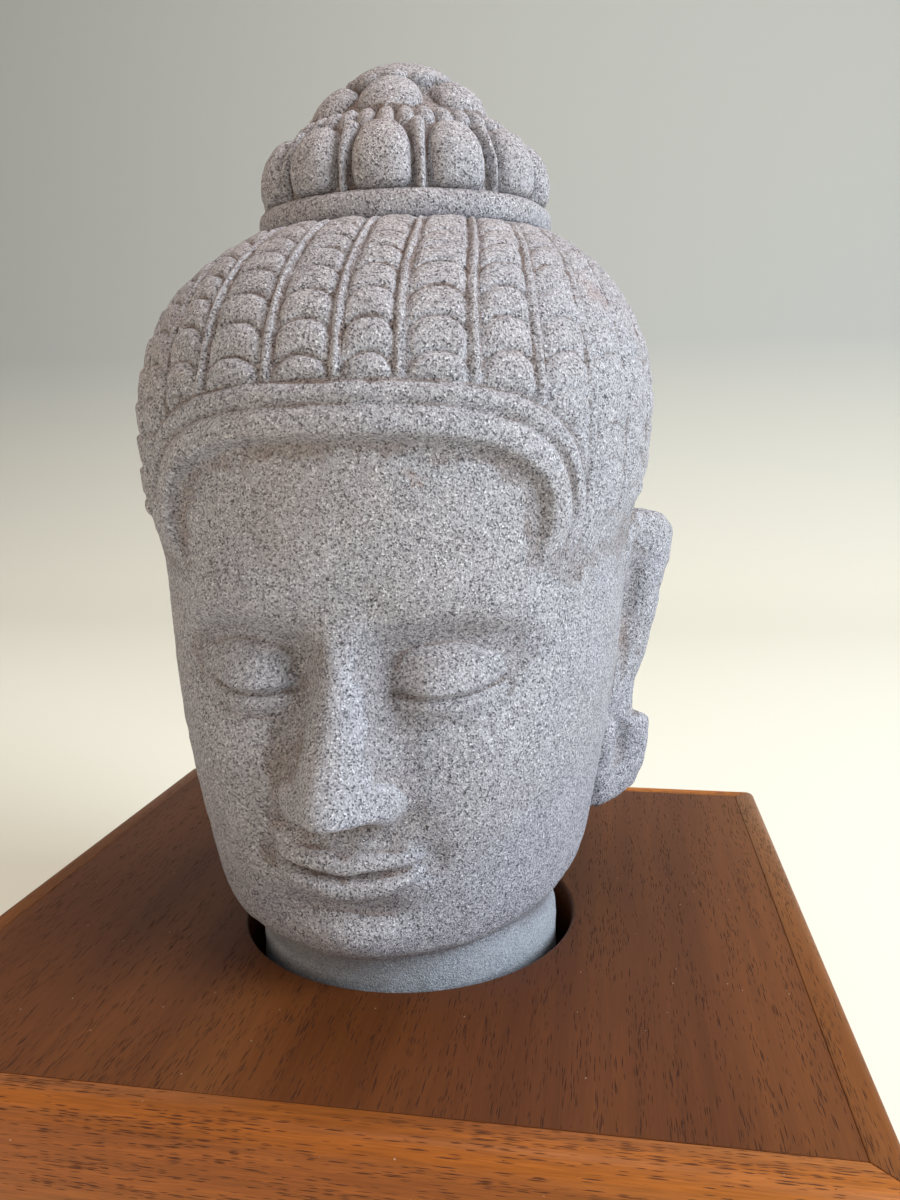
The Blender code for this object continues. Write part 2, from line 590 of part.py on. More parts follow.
def build_panel(collection, cutters, material):
    """The stand's panel and core, with the blind oval recess for the neck."""
    inset = 2 * (EDGE_THICKNESS + JOINT_GAP)
    bm = bmesh.new()
    bmesh.ops.create_cube(bm, size=1)
    size = (STAND_WIDTH - inset, STAND_DEPTH - inset, STAND_HEIGHT)
    bmesh.ops.scale(bm, vec=size, verts=bm.verts)
    bmesh.ops.translate(bm, vec=(0, 0, STAND_HEIGHT / 2), verts=bm.verts)
    panel = new_object("stand_panel", bm, collection, material)

    bm = bmesh.new()
    above = STAND_HEIGHT
    bmesh.ops.create_cone(
        bm, cap_ends=True, segments=RECESS_SIDES, radius1=1, radius2=1, depth=RECESS_DEPTH + above
    )
    size = (NECK_WIDTH / 2 + RECESS_CLEARANCE, NECK_DEPTH / 2 + RECESS_CLEARANCE, 1)
    bmesh.ops.scale(bm, vec=size, verts=bm.verts)
    middle = STAND_HEIGHT + (above - RECESS_DEPTH) / 2
    bmesh.ops.translate(bm, vec=(NECK_SHIFT, NECK_OFFSET, middle), verts=bm.verts)
    add_boolean(panel, as_cutter(new_object("recess", bm, cutters)), "DIFFERENCE")
    return panel


def build_edge(name, length, reach, quarter_turns, collection, material):
    """A board along one side of the stand, with mitred ends and a rounded top outer edge."""
    bm = bmesh.new()
    bmesh.ops.create_cube(bm, size=1)
    bmesh.ops.scale(bm, vec=(length, EDGE_THICKNESS, STAND_HEIGHT), verts=bm.verts)
    shift = (0, -(reach - EDGE_THICKNESS / 2), STAND_HEIGHT / 2)
    bmesh.ops.translate(bm, vec=shift, verts=bm.verts)
    outer_top = [
        edge
        for edge in bm.edges
        if all(v.co.y < -reach + EDGE_THICKNESS / 2 and v.co.z > STAND_HEIGHT / 2 for v in edge.verts)
    ]
    bmesh.ops.bevel(
        bm, geom=outer_top, offset=EDGE_ROUND, segments=EDGE_ROUND_STEPS, profile=0.5, affect="EDGES"
    )
    for vertex in bm.verts:
        inward = vertex.co.y + reach
        mitre = length / 2 - inward - JOINT_GAP / 2
        vertex.co.x = math.copysign(mitre, vertex.co.x)
    bmesh.ops.recalc_face_normals(bm, faces=bm.faces)
    board = new_object(name, bm, collection, material)
    board.rotation_euler.z = quarter_turns * math.pi / 2
    board.data.shade_smooth()
    board.data.set_sharp_from_angle(angle=math.radians(35))
    return board


def build_stand(collection, cutters):
    panel_wood = new_material("dark mahogany", PANEL_COLOUR, 0.42)
    edge_wood = new_material("red mahogany", EDGE_COLOUR, 0.38)
    build_panel(collection, cutters, panel_wood)
    half_width, half_depth = STAND_WIDTH / 2, STAND_DEPTH / 2
    for name, length, reach, turns in (
        ("stand_edge_front", STAND_WIDTH, half_depth, 0),
        ("stand_edge_right", STAND_DEPTH, half_width, 1),
        ("stand_edge_back", STAND_WIDTH, half_depth, 2),
        ("stand_edge_left", STAND_DEPTH, half_width, 3),
    ):
        build_edge(name, length, reach, turns, collection, edge_wood)


def main():
    for thing in list(bpy.data.objects):
        bpy.data.objects.remove(thing, do_unlink=True)
    parts = bpy.data.collections.new("buddha head on stand")
    cutters = bpy.data.collections.new("cutters")
    for collection in (parts, cutters):
        bpy.context.scene.collection.children.link(collection)
    build_head(parts, cutters, new_material("sandstone", STONE_COLOUR, 0.9))
    build_stand(parts, cutters)


main()
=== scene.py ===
"""Looks of the stone buddha head and its wooden stand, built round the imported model."""

import math

import bmesh
import bpy
import numpy as np
from mathutils import Matrix, Vector
from mathutils.bvhtree import BVHTree


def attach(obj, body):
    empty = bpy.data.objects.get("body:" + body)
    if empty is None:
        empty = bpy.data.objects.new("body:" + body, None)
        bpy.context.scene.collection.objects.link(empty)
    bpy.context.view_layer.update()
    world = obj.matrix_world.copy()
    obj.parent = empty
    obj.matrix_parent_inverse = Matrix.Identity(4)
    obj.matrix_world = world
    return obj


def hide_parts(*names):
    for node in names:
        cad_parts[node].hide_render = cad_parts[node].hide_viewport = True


MM = 0.001
TINY = 1e-9

# Stand: a panel with four mitred edge boards round it
STAND_WIDTH = 192 * MM
STAND_DEPTH = 172 * MM
STAND_HEIGHT = 42 * MM
EDGE_THICKNESS = 7 * MM
EDGE_ROUND = 4 * MM
JOINT_GAP = 0.3 * MM

# Neck stub, and the recess that takes it
NECK_WIDTH = 70 * MM
NECK_DEPTH = 70 * MM
NECK_OFFSET = -5.4 * MM
NECK_SHIFT = 2.5 * MM
NECK_CHAMFER = 1.5 * MM
RECESS_DEPTH = 25 * MM
RECESS_CLEARANCE = 3.8 * MM

# Head: U is the carving's unit, a 196th of the head's height above the stand
HEAD_HEIGHT = 196 * MM
U = HEAD_HEIGHT / 196
LEAN = math.radians(4)
LEAN_FULL_HEIGHT = 34 * U
NECK_BLEND_HEIGHT = 8 * U

# Sections of the bare head, from the throat to the top of the bun, in U above the stand:
# (front height, back height, front reach, back reach, half width, squareness).
# From the temples down to the chin the half width narrows by a sixth, as in an egg, over an upright front.
SECTIONS = (
    (6.7, 18, -41.0, 36, 39.5, 2.0),
    (7.7, 24, -44.5, 50, 42.0, 2.0),
    (11.2, 31.5, -47.0, 61, 44.6, 2.05),
    (18, 40, -47.5, 69, 46.0, 2.15),
    (29.5, 50.5, -47.5, 75, 48.0, 2.2),
    (44, 62, -47.5, 79, 50.1, 2.25),
    (60, 74, -47.5, 81, 51.8, 2.3),
    (75, 85, -47.5, 82, 52.7, 2.3),
    (90, 96, -48.0, 82.3, 53.0, 2.25),
    (105, 106, -47.2, 82, 55.3, 2.15),
    (120, 118, -46.5, 81, 56.3, 2.05),
    (129, 127, -44.0, 80, 55.0, 2.0),
    (136.5, 136, -39.5, 78, 51.9, 2.0),
    (142.5, 142.5, -33.0, 75, 48.2, 2.0),
    (148, 148, -24.0, 71, 43.3, 2.0),
    (152.5, 152.5, -15.0, 66, 37.3, 2.0),
    (156.2, 156.2, -5.5, 59.5, 32.5, 2.0),
    (158, 158, -6.0, 60.0, 33.0, 2.0),
    (160.6, 160.6, -6.0, 60.0, 33.0, 2.0),
    (162.4, 162.4, -3.6, 57.6, 30.6, 2.0),
    (167.5, 167.5, -3.6, 57.6, 30.6, 2.0),
    (173, 173, -1.2, 55.2, 28.2, 2.0),
    (176.5, 176.5, 1.6, 52.4, 25.4, 2.0),
    (179.3, 179.3, 4.6, 49.4, 22.4, 2.0),
    (181.8, 181.8, 8.5, 45.5, 18.5, 2.0),
    (184.5, 184.5, 12.0, 42.0, 15.0, 2.0),
    (187.2, 187.2, 14.6, 39.4, 12.4, 2.0),
    (188.6, 188.6, 14.3, 39.7, 12.7, 2.0),
    (190.3, 190.3, 14.7, 39.3, 12.3, 2.0),
    (192.4, 192.4, 17.2, 36.8, 9.8, 2.0),
    (193.9, 193.9, 21.0, 33.0, 6.0, 2.0),
    (194.6, 194.6, 27.0, 27, 0.0, 2.0),
)

# Hairline: an arch over the forehead, whose sides run down the temples
HAIRLINE_HALF_WIDTH = 39.5 * U
HAIRLINE_CENTRE = 95 * U
HAIRLINE_RISE = 18.1 * U
HAIRLINE_TURN = math.radians(1.5)
HAIRLINE_POWER = 2.8
HAIRLINE_FADE = (86 * U, 99 * U)
HAIR_RADIUS = 58.5 * U
HAIR_LIFT = 1.8 * U
HAIR_EDGE = 1.8 * U
HAIR_EAR_ANGLE = math.radians(103)
HAIR_EAR_TURN = math.radians(1.2)
NAPE_HEIGHT = 34 * U
TEMPLE_HEIGHT = 97 * U

# Band of the hair: a roll on the hairline and a fillet above it
ROLL_WIDTH = 6.6 * U
ROLL_HEIGHT = 1.2 * U
FILLET_WIDTH = 3.8 * U
FILLET_HEIGHT = 0.9 * U
BAND_GROOVE = 0.6 * U

# Locks: columns between ribs, in rows of scallops. The ribs are unevenly spaced by hand, here
# as degrees on the hairline, and sweep back towards the bun.
RIB_DEGREES = (
    -180, -167.2, -154, -141, -128.7, -115, -102.6, -89, -76.4, -63, -50.6, -38.5, -26, -11,
    1.8, 12.8, 26.2, 38.8, 51.3, 64, 77.4, 90, 103.5, 116, 129.3, 142, 154.7, 167.5, 180,
)
RIB_SWEEP = 0.32
RIB_SWEEP_HEIGHT = 118 * U
RIB_SHARE = 0.085
RIB_HEIGHT = 0.75 * U
LOCK_HEIGHT = 1.0 * U
LOCK_GROOVE = 0.85 * U
LOCK_GROOVE_HALF = 0.55 * U
LOCK_PITCH = 6.5 * U
LOCK_ARCH = 0.38
LOCK_START_HEIGHT = 118 * U
COLLAR_BASE_HEIGHT = 156.2 * U
WORN_FROM, WORN_TO = math.radians(32), math.radians(52)
WHOLE_FROM, WHOLE_TO = math.radians(100), math.radians(120)
WORN_SHARE = 0.45

# Bun: a collar, petals and darts, knobs, small petals and a lobed cap
COLLAR_CENTRE = 159.3 * U
COLLAR_HALF = 2.9 * U
COLLAR_HEIGHT = 1.6 * U
BUN_BASE_HEIGHT = 162.4 * U
PETAL_COUNT = 12
PETAL_TURN = math.radians(2.9)
PETAL_LENGTH = 13.8 * U
PETAL_SHARE = 0.375
PETAL_TAPER = 0.08
PETAL_HEIGHT = 3.6 * U
DART_SHARE, DART_SPREAD = 0.05, 0.06
DART_HEIGHT = 2.4 * U
KNOB_COUNT = 36
KNOB_CENTRE = BUN_BASE_HEIGHT + PETAL_LENGTH + 1.8 * U
KNOB_HALF = 2.2 * U
KNOB_HEIGHT = 1.7 * U
SMALL_PETAL_COUNT = 6
SMALL_PETAL_CENTRE = KNOB_CENTRE + 6.0 * U
SMALL_PETAL_HALF = 4.3 * U
SMALL_PETAL_HEIGHT = 4.0 * U
CAP_LOBE_COUNT = 12
CAP_LOBE_CENTRE = SMALL_PETAL_CENTRE + 5.2 * U
CAP_LOBE_HALF = 1.5 * U
CAP_LOBE_HEIGHT = 0.9 * U

# Face: five eye widths across, a head of seven and a half of them from the bun to the chin, and
# equal thirds from the hairline to the chin
EYE_WIDTH = 19.6 * U
HEAD_IN_EYES = 7.5
CHIN_HEIGHT = COLLAR_BASE_HEIGHT - HEAD_IN_EYES * EYE_WIDTH
FACE_THIRD = (HAIRLINE_CENTRE + HAIRLINE_RISE - CHIN_HEIGHT) / 3
NOSE_BASE_HEIGHT = CHIN_HEIGHT + FACE_THIRD
BROW_HEIGHT = CHIN_HEIGHT + 2 * FACE_THIRD
EYE_HEIGHT = BROW_HEIGHT - FACE_THIRD / 4
MOUTH_HEIGHT = NOSE_BASE_HEIGHT - FACE_THIRD / 3
MOUTH_WIDTH = 1.55 * EYE_WIDTH
NOSE_RISE = 14.5 * U

# Ears: long, flared back from the side of the head, with a broken lobe
EAR_TOP_HEIGHT = 93.5 * U
EAR_BOTTOM_HEIGHT = 21.5 * U
EAR_ROOT_X = 45.5 * U
EAR_ROOT_Y = 8.0 * U
EAR_FLARE = math.radians(42)
EAR_THICKNESS = 4.0 * U


def step(low, high, value):
    """Smooth rise from 0 at low to 1 at high."""
    share = np.clip((value - low) / (high - low), 0, 1)
    return share * share * (3 - 2 * share)


def swell(value, half):
    """Soft hump, 1 at 0 and falling away over half."""
    return np.exp(-((value / half) ** 2))


def dome(radius_share):
    """Round hump over a radius share of 0 to 1, with a full edge."""
    return np.sqrt(np.clip(1 - radius_share**2, 0, 1))


def slopes(knots, values):
    """Slopes of a curve through the values that never overshoots them."""
    chords = np.diff(values) / np.diff(knots)
    inner = np.zeros(len(values) - 2)
    same = chords[:-1] * chords[1:] > 0
    inner[same] = 2 / (1 / chords[:-1][same] + 1 / chords[1:][same])
    return np.concatenate(([chords[0]], inner, [chords[-1]]))


def curve(at, knots, values):
    """Smooth curve through the values at the knots."""
    tangent = slopes(knots, values)
    i = np.clip(np.searchsorted(knots, at, side="right") - 1, 0, len(knots) - 2)
    span = knots[i + 1] - knots[i]
    share = (at - knots[i]) / span
    square, cube = share**2, share**3
    return (
        values[i] * (2 * cube - 3 * square + 1)
        + values[i + 1] * (3 * square - 2 * cube)
        + tangent[i] * span * (cube - 2 * square + share)
        + tangent[i + 1] * span * (cube - square)
    )


def head_sections():
    """All sections in metres: the neck stub from its foot up, then the head."""
    foot = -RECESS_DEPTH + JOINT_GAP
    front, back = NECK_OFFSET - NECK_DEPTH / 2, NECK_OFFSET + NECK_DEPTH / 2
    half, edge = NECK_WIDTH / 2, NECK_CHAMFER
    neck = [
        (foot, foot, NECK_OFFSET, NECK_OFFSET, 0, 2),
        (foot, foot, front + edge, back - edge, half - edge, 2),
        (foot + edge, foot + edge, front, back, half, 2),
        (0, 4 * U, front, back, half, 2),
    ]
    head = [tuple(value * U for value in row[:5]) + row[5:] for row in SECTIONS]
    return np.array(neck + head)


class Blank:
    """The bare head: a loft through the sections, read by azimuth and by height share."""

    def __init__(self):
        self.rows = head_sections()
        front = np.hypot(np.diff(self.rows[:, 0]), np.diff(self.rows[:, 2]))
        side = np.hypot(np.diff(self.rows[:, :2].mean(axis=1)), np.diff(self.rows[:, 4]))
        back = np.hypot(np.diff(self.rows[:, 1]), np.diff(self.rows[:, 3]))
        self.lengths = [np.concatenate(([0], np.cumsum(run))) for run in (front, side, back)]
        self.knots = (self.lengths[0] + self.lengths[1]) / 2
        self.start = self.knot_at(LOCK_START_HEIGHT)

    def knot_at(self, height):
        """Place along the loft of a section at this mean height."""
        return np.interp(height, self.rows[:, :2].mean(axis=1), self.knots)

    def point(self, azimuth, along):
        """Point of the loft. Azimuth 0 is the front and +90 degrees the +X side."""
        low_z, high_z, low_y, high_y, half, power = (
            curve(along, self.knots, column) for column in self.rows.T
        )
        depth = (high_y - low_y) / 2
        across, forward = half * np.sin(azimuth), depth * np.cos(azimuth)
        size = np.maximum(np.hypot(across, forward), TINY)
        sine, cosine = across / size, forward / size
        half, depth = np.maximum(half, TINY), np.maximum(depth, TINY)
        spread = (np.abs(sine) / half) ** power + (np.abs(cosine) / depth) ** power
        reach = np.maximum(spread, TINY) ** (-1 / power) * (size > 2 * TINY)
        share = reach * cosine / depth
        y = (low_y + high_y) / 2 - share * depth
        z = (low_z + high_z) / 2 - share * (high_z - low_z) / 2
        return np.stack((reach * sine, y, z), axis=-1)

    def normal(self, azimuth, along):
        """Outward direction of the loft, from small steps both ways."""
        turn, rise = 1e-3, 1e-4
        round_it = self.point(azimuth + turn, along) - self.point(azimuth - turn, along)
        top = self.knots[-1]
        up_it = self.point(azimuth, np.clip(along + rise, 0, top))
        up_it = up_it - self.point(azimuth, np.clip(along - rise, 0, top))
        out = np.cross(round_it, up_it)
        return out / np.maximum(np.linalg.norm(out, axis=-1, keepdims=True), 1e-15)

    def climb(self, azimuth, along):
        """Distance up the surface from where the locks start."""
        front, side, back = (
            np.interp(along, self.knots, run) - np.interp(self.start, self.knots, run)
            for run in self.lengths
        )
        ahead = np.cos(azimuth)
        return np.where(
            ahead > 0, side + (front - side) * ahead**2, side + (back - side) * ahead**2
        )


def hairline_distance(azimuth, height):
    """Distance outside the arched hairline, negative on the face."""
    across = np.abs(azimuth - HAIRLINE_TURN) * HAIR_RADIUS / HAIRLINE_HALF_WIDTH
    above = np.maximum(height - HAIRLINE_CENTRE, 0) / HAIRLINE_RISE
    ring = (across**HAIRLINE_POWER + above**HAIRLINE_POWER) ** (1 / HAIRLINE_POWER)
    ring = np.maximum(ring, TINY)
    power = HAIRLINE_POWER - 1
    slope = np.hypot(
        (across / ring) ** power / HAIRLINE_HALF_WIDTH,
        (above / ring) ** power / HAIRLINE_RISE,
    )
    return (ring - 1) / np.maximum(slope, TINY)


def lower_edge(azimuth):
    """Height of the hair's lower edge: over the ears, then down to the nape."""
    behind = step(HAIR_EAR_ANGLE - HAIR_EAR_TURN, HAIR_EAR_ANGLE + HAIR_EAR_TURN, np.abs(azimuth))
    return TEMPLE_HEIGHT + (NAPE_HEIGHT - TEMPLE_HEIGHT) * behind


def rib_column(azimuth, height):
    """Place between the ribs, as a count of them: a whole number is on a rib."""
    share = (height - RIB_SWEEP_HEIGHT) / (COLLAR_BASE_HEIGHT - RIB_SWEEP_HEIGHT)
    at_hairline = azimuth - RIB_SWEEP * np.clip(share, 0, 1) ** 3 * np.sin(azimuth)
    return np.interp(at_hairline, np.radians(RIB_DEGREES), np.arange(len(RIB_DEGREES)))


def locks(azimuth, climb, height):
    """Ribs, and locks between them like tiles with round upper ends, as height over the hair."""
    column = rib_column(azimuth, height)
    off_rib = np.abs(column - np.round(column))
    rib = (RIB_HEIGHT + LOCK_GROOVE) * dome(np.minimum(off_rib / RIB_SHARE, 1)) ** 0.8
    across = np.clip((0.5 - off_rib) / (0.5 - 1.2 * RIB_SHARE), 0, 1)
    row = climb / LOCK_PITCH - LOCK_ARCH * (1 - across**2.2)
    up = row - np.floor(row)
    to_groove = np.minimum(up, 1 - up) * LOCK_PITCH
    tile = 0.3 + 0.35 * (1 - across**2) + 0.35 * step(0, 0.9, up)
    lock = (LOCK_GROOVE + LOCK_HEIGHT * tile) * (1 - across**8) ** 0.6
    lock = lock - 1.3 * LOCK_GROOVE * swell(to_groove, LOCK_GROOVE_HALF)
    carved = np.maximum(rib, np.maximum(lock, 0)) - LOCK_GROOVE
    worn = step(WORN_FROM, WORN_TO, azimuth) * (1 - step(WHOLE_FROM, WHOLE_TO, azimuth))
    return carved * (1 - (1 - WORN_SHARE) * worn)


def band(distance):
    """Roll and fillet along the hairline, as height over the hair."""
    roll = ROLL_HEIGHT * dome(np.clip(np.abs(2 * distance / ROLL_WIDTH - 1), 0, 1))
    middle = ROLL_WIDTH + FILLET_WIDTH / 2
    fillet = FILLET_HEIGHT * dome(np.clip(np.abs(2 * (distance - middle) / FILLET_WIDTH), 0, 1))
    grooves = swell(distance - ROLL_WIDTH, 0.8 * U)
    grooves = grooves + swell(distance - ROLL_WIDTH - FILLET_WIDTH, 0.7 * U)
    return roll + fillet - BAND_GROOVE * grooves


def hair(azimuth, climb, point):
    """Height of the hair, its band and its locks over the bare head."""
    height = point[:, 2]
    distance = hairline_distance(azimuth, height)
    down = step(*HAIRLINE_FADE, height)
    behind = step(HAIR_EAR_ANGLE - HAIR_EAR_TURN, HAIR_EAR_ANGLE + HAIR_EAR_TURN, np.abs(azimuth))
    over_nape = step(NAPE_HEIGHT - 1.2 * U, NAPE_HEIGHT, height)
    below_bun = 1 - step(COLLAR_BASE_HEIGHT - 1.5 * U, COLLAR_BASE_HEIGHT, height)
    lifted = step(0, HAIR_EDGE, distance) * down
    lifted = np.maximum(lifted, behind * over_nape) * below_bun
    banded = band(distance) * lifted * (1 - behind) * down
    locked = step(ROLL_WIDTH + FILLET_WIDTH, ROLL_WIDTH + FILLET_WIDTH + U, distance)
    edge = lower_edge(azimuth)
    locked = np.where(np.abs(azimuth) > HAIR_EAR_ANGLE, 1, locked) * step(edge, edge + 1.5 * U, height)
    locked = locked * (1 - step(COLLAR_BASE_HEIGHT - 2.5 * U, COLLAR_BASE_HEIGHT - U, height))
    return HAIR_LIFT * lifted + banded + locks(azimuth, climb, height) * locked


def round_row(azimuth, height, count, turn, centre, half, share):
    """Radius share within the nearest of a ring of round lumps."""
    place = (azimuth - turn) * count / (2 * math.pi)
    off = np.abs(place - np.round(place))
    return np.sqrt((off / share) ** 2 + ((height - centre) / half) ** 2)


def bun(azimuth, point):
    """Collar, petals with darts between them, knobs, small petals and the lobed cap."""
    height = point[:, 2]
    collar = COLLAR_HEIGHT * dome(np.clip(np.abs(height - COLLAR_CENTRE) / COLLAR_HALF, 0, 1))
    half = PETAL_LENGTH / 2
    up = (height - BUN_BASE_HEIGHT - half) / half
    place = (azimuth - PETAL_TURN) * PETAL_COUNT / (2 * math.pi)
    off = np.abs(place - np.round(place))
    share = PETAL_SHARE * (1 - PETAL_TAPER * step(0, 1, up))
    end = np.where(up > 0, np.abs(up) ** 3.4, np.abs(up) ** 6)
    petals = PETAL_HEIGHT * dome(np.sqrt(np.clip((off / share) ** 2.6 + end, 0, 1)))
    dart_share = DART_SHARE + DART_SPREAD * step(-0.3, 1, up)
    dart = DART_HEIGHT * dome(np.clip((0.5 - off) / dart_share, 0, 1)) * (np.abs(up) < 1)
    lumps = np.zeros(len(height))
    for count, centre, half, share, rise in (
        (KNOB_COUNT, KNOB_CENTRE, KNOB_HALF, 0.46, KNOB_HEIGHT),
        (SMALL_PETAL_COUNT, SMALL_PETAL_CENTRE, SMALL_PETAL_HALF, 0.42, SMALL_PETAL_HEIGHT),
        (CAP_LOBE_COUNT, CAP_LOBE_CENTRE, CAP_LOBE_HALF, 0.44, CAP_LOBE_HEIGHT),
    ):
        lumps += rise * dome(round_row(azimuth, height, count, PETAL_TURN, centre, half, share))
    return collar + np.maximum(petals, dart) + lumps


def eye(x, z):
    """Lowered lids over a round eye, in a shallow socket."""
    across, up = (np.abs(x) - EYE_WIDTH), z - EYE_HEIGHT
    socket = -4.6 * U * swell(across, 14 * U) * swell(up - 3.0 * U, 9.0 * U)
    inner = -2.4 * U * swell(np.abs(x) - 8.5 * U, 4.5 * U) * swell(up - 1.5 * U, 7.5 * U)
    ball_share = np.hypot(across / (12.6 * U), (up + 0.4 * U) / (8.6 * U))
    ball = 5.0 * U * np.clip(1 - ball_share**2, 0, 1) ** 1.6
    along = across / (EYE_WIDTH * 0.53)
    within = np.clip(1 - along**2, 0, 1)
    line = up + 1.6 * U + 2.0 * U * within - 0.5 * U * along
    lid = within**0.4
    lash = -0.9 * U * swell(line, 0.7 * U) * lid
    upper = 0.8 * U * np.exp(-np.clip(line, 0, None) / (3.0 * U)) * step(-0.2 * U, 0.4 * U, line) * lid
    crease = up - 3.6 * U - 2.6 * U * within
    fold = -0.55 * U * swell(crease, 0.9 * U) * within**0.5
    lower = 0.45 * U * swell(line + 2.2 * U, 1.3 * U) * lid
    return socket + inner + ball + lash + upper + fold + lower


def brow(x, z):
    """Arched brow from the root of the nose to the temple."""
    side = np.abs(x)
    arch = BROW_HEIGHT + 3.4 * U - 8.0 * U * ((side - 21 * U) / (24 * U)) ** 2
    away = z - arch
    half = np.where(away > 0, 7.5 * U, 3.0 * U)
    reach = step(-4 * U, 18 * U, side) * (1 - step(28 * U, 46 * U, side))
    return 1.8 * U * swell(away, half) * reach


def nose(x, z):
    """Straight bridge, round tip, wings and nostrils."""
    root, tip = BROW_HEIGHT - 2 * U, NOSE_BASE_HEIGHT + 6.0 * U
    along = np.clip((root - z) / (root - tip), 0, 1)
    rise = NOSE_RISE * (0.16 + 0.84 * along**1.15)
    half = (5.6 + 3.6 * along**2) * U
    under = step(NOSE_BASE_HEIGHT - 1.2 * U, NOSE_BASE_HEIGHT + 4.0 * U, z)
    above = 1 - step(root - 4 * U, root + 11 * U, z)
    ridge = rise * np.exp(-(np.abs(x / half) ** 2.5)) * under * above
    wing_x, wing_z = (np.abs(x) - 7.6 * U) / (4.8 * U), (z - NOSE_BASE_HEIGHT - 3.6 * U) / (5.2 * U)
    wings = 7.4 * U * np.clip(1 - wing_x**2 - wing_z**2, 0, 1) ** 0.6
    hole_x, hole_z = (np.abs(x) - 4.6 * U) / (2.1 * U), (z - NOSE_BASE_HEIGHT - 0.4 * U) / (1.3 * U)
    nostrils = -3.0 * U * np.exp(-(hole_x**2) - hole_z**2)
    ball = 1.3 * U * swell(np.hypot(x, z - tip), 6 * U)
    return (ridge**3 + wings**3) ** (1 / 3) + nostrils + ball


def mouth(x, z):
    """Two closed lips on a gentle swell, with a groove over them and a fold under them."""
    side = np.abs(x) / (MOUTH_WIDTH / 2)
    within = np.clip(1 - side**2, 0, 1)
    line = z - MOUTH_HEIGHT - 1.5 * U * side**2 + 0.5 * U * swell(x, 3 * U)
    muzzle = 3.4 * U * swell(x, 19 * U) * swell(z - MOUTH_HEIGHT - 1.5 * U, 13 * U)
    upper_full = (4.9 - 0.6 * swell(x / U, 2.6)) * U * within**0.45 + 0.3 * U
    lower_full = 6.0 * U * within**0.5 + 0.3 * U
    upper = 2.1 * U * dome(np.clip(np.abs(2 * line / upper_full - 1), 0, 1)) * (line > 0)
    lower = 2.7 * U * dome(np.clip(np.abs(-2 * line / lower_full - 1), 0, 1)) * (line < 0)
    seam = -1.5 * U * swell(line, 0.8 * U) * within**0.3
    corner = swell(np.hypot(np.abs(x) - MOUTH_WIDTH / 2 - 0.8 * U, z - MOUTH_HEIGHT - 1.5 * U), 2.8 * U)
    groove = swell(x, 2.4 * U) * step(3.5 * U, 5.5 * U, line) * (1 - step(8 * U, 11.5 * U, line))
    fold = swell(x, 12 * U) * swell(z - MOUTH_HEIGHT + 10 * U, 3.2 * U)
    raised = muzzle + (upper + lower) * within**0.4 + seam
    return raised - 1.6 * U * corner - 0.7 * U * groove - 2.2 * U * fold


def cheeks_and_chin(x, z):
    """Full cheeks, the fold beside the nose and a round chin."""
    side = np.abs(x)
    cheek = 3.4 * U * swell(side - 27 * U, 14 * U) * swell(z - NOSE_BASE_HEIGHT - 6 * U, 15 * U)
    fold_x = side - 12.5 * U - 0.42 * (NOSE_BASE_HEIGHT + 2 * U - z)
    fold = -0.8 * U * swell(fold_x, 3.4 * U) * swell(z - NOSE_BASE_HEIGHT + 3 * U, 8.0 * U)
    chin = 3.6 * U * swell(x, 11 * U) * swell(z - CHIN_HEIGHT - 6 * U, 6.5 * U)
    return cheek + fold + chin


def face(azimuth, point):
    """Depth of the face's forms, towards the front."""
    x, z = point[:, 0], point[:, 2]
    ahead = 1 - step(math.radians(62), math.radians(82), np.abs(azimuth))
    return (eye(x, z) + brow(x, z) + nose(x, z) + mouth(x, z) + cheeks_and_chin(x, z)) * ahead


def settled(point):
    """The head on its neck: it leans forward, whole above the chin, and the neck sits to one side."""
    angle = LEAN * step(0, LEAN_FULL_HEIGHT, point[:, 2])
    sine, cosine = np.sin(angle), np.cos(angle)
    y = point[:, 1] * cosine - point[:, 2] * sine
    z = point[:, 2] * cosine + point[:, 1] * sine
    x = point[:, 0] + NECK_SHIFT * (1 - step(0, NECK_BLEND_HEIGHT, point[:, 2]))
    return np.stack((x, y, z + STAND_HEIGHT), axis=-1)


def carved_head(azimuth, share):
    """Points of the finished head, by azimuth and by share of the way from foot to top."""
    blank = Blank()
    along = share * blank.knots[-1]
    point = blank.point(azimuth, along)
    relief = hair(azimuth, blank.climb(azimuth, along), point)
    above_collar = step(COLLAR_BASE_HEIGHT - 0.3 * U, COLLAR_BASE_HEIGHT + 0.3 * U, point[:, 2])
    relief = relief + bun(azimuth, point) * above_collar
    carved = point + blank.normal(azimuth, along) * relief[:, None]
    carved[:, 1] -= face(azimuth, point)
    return settled(carved)


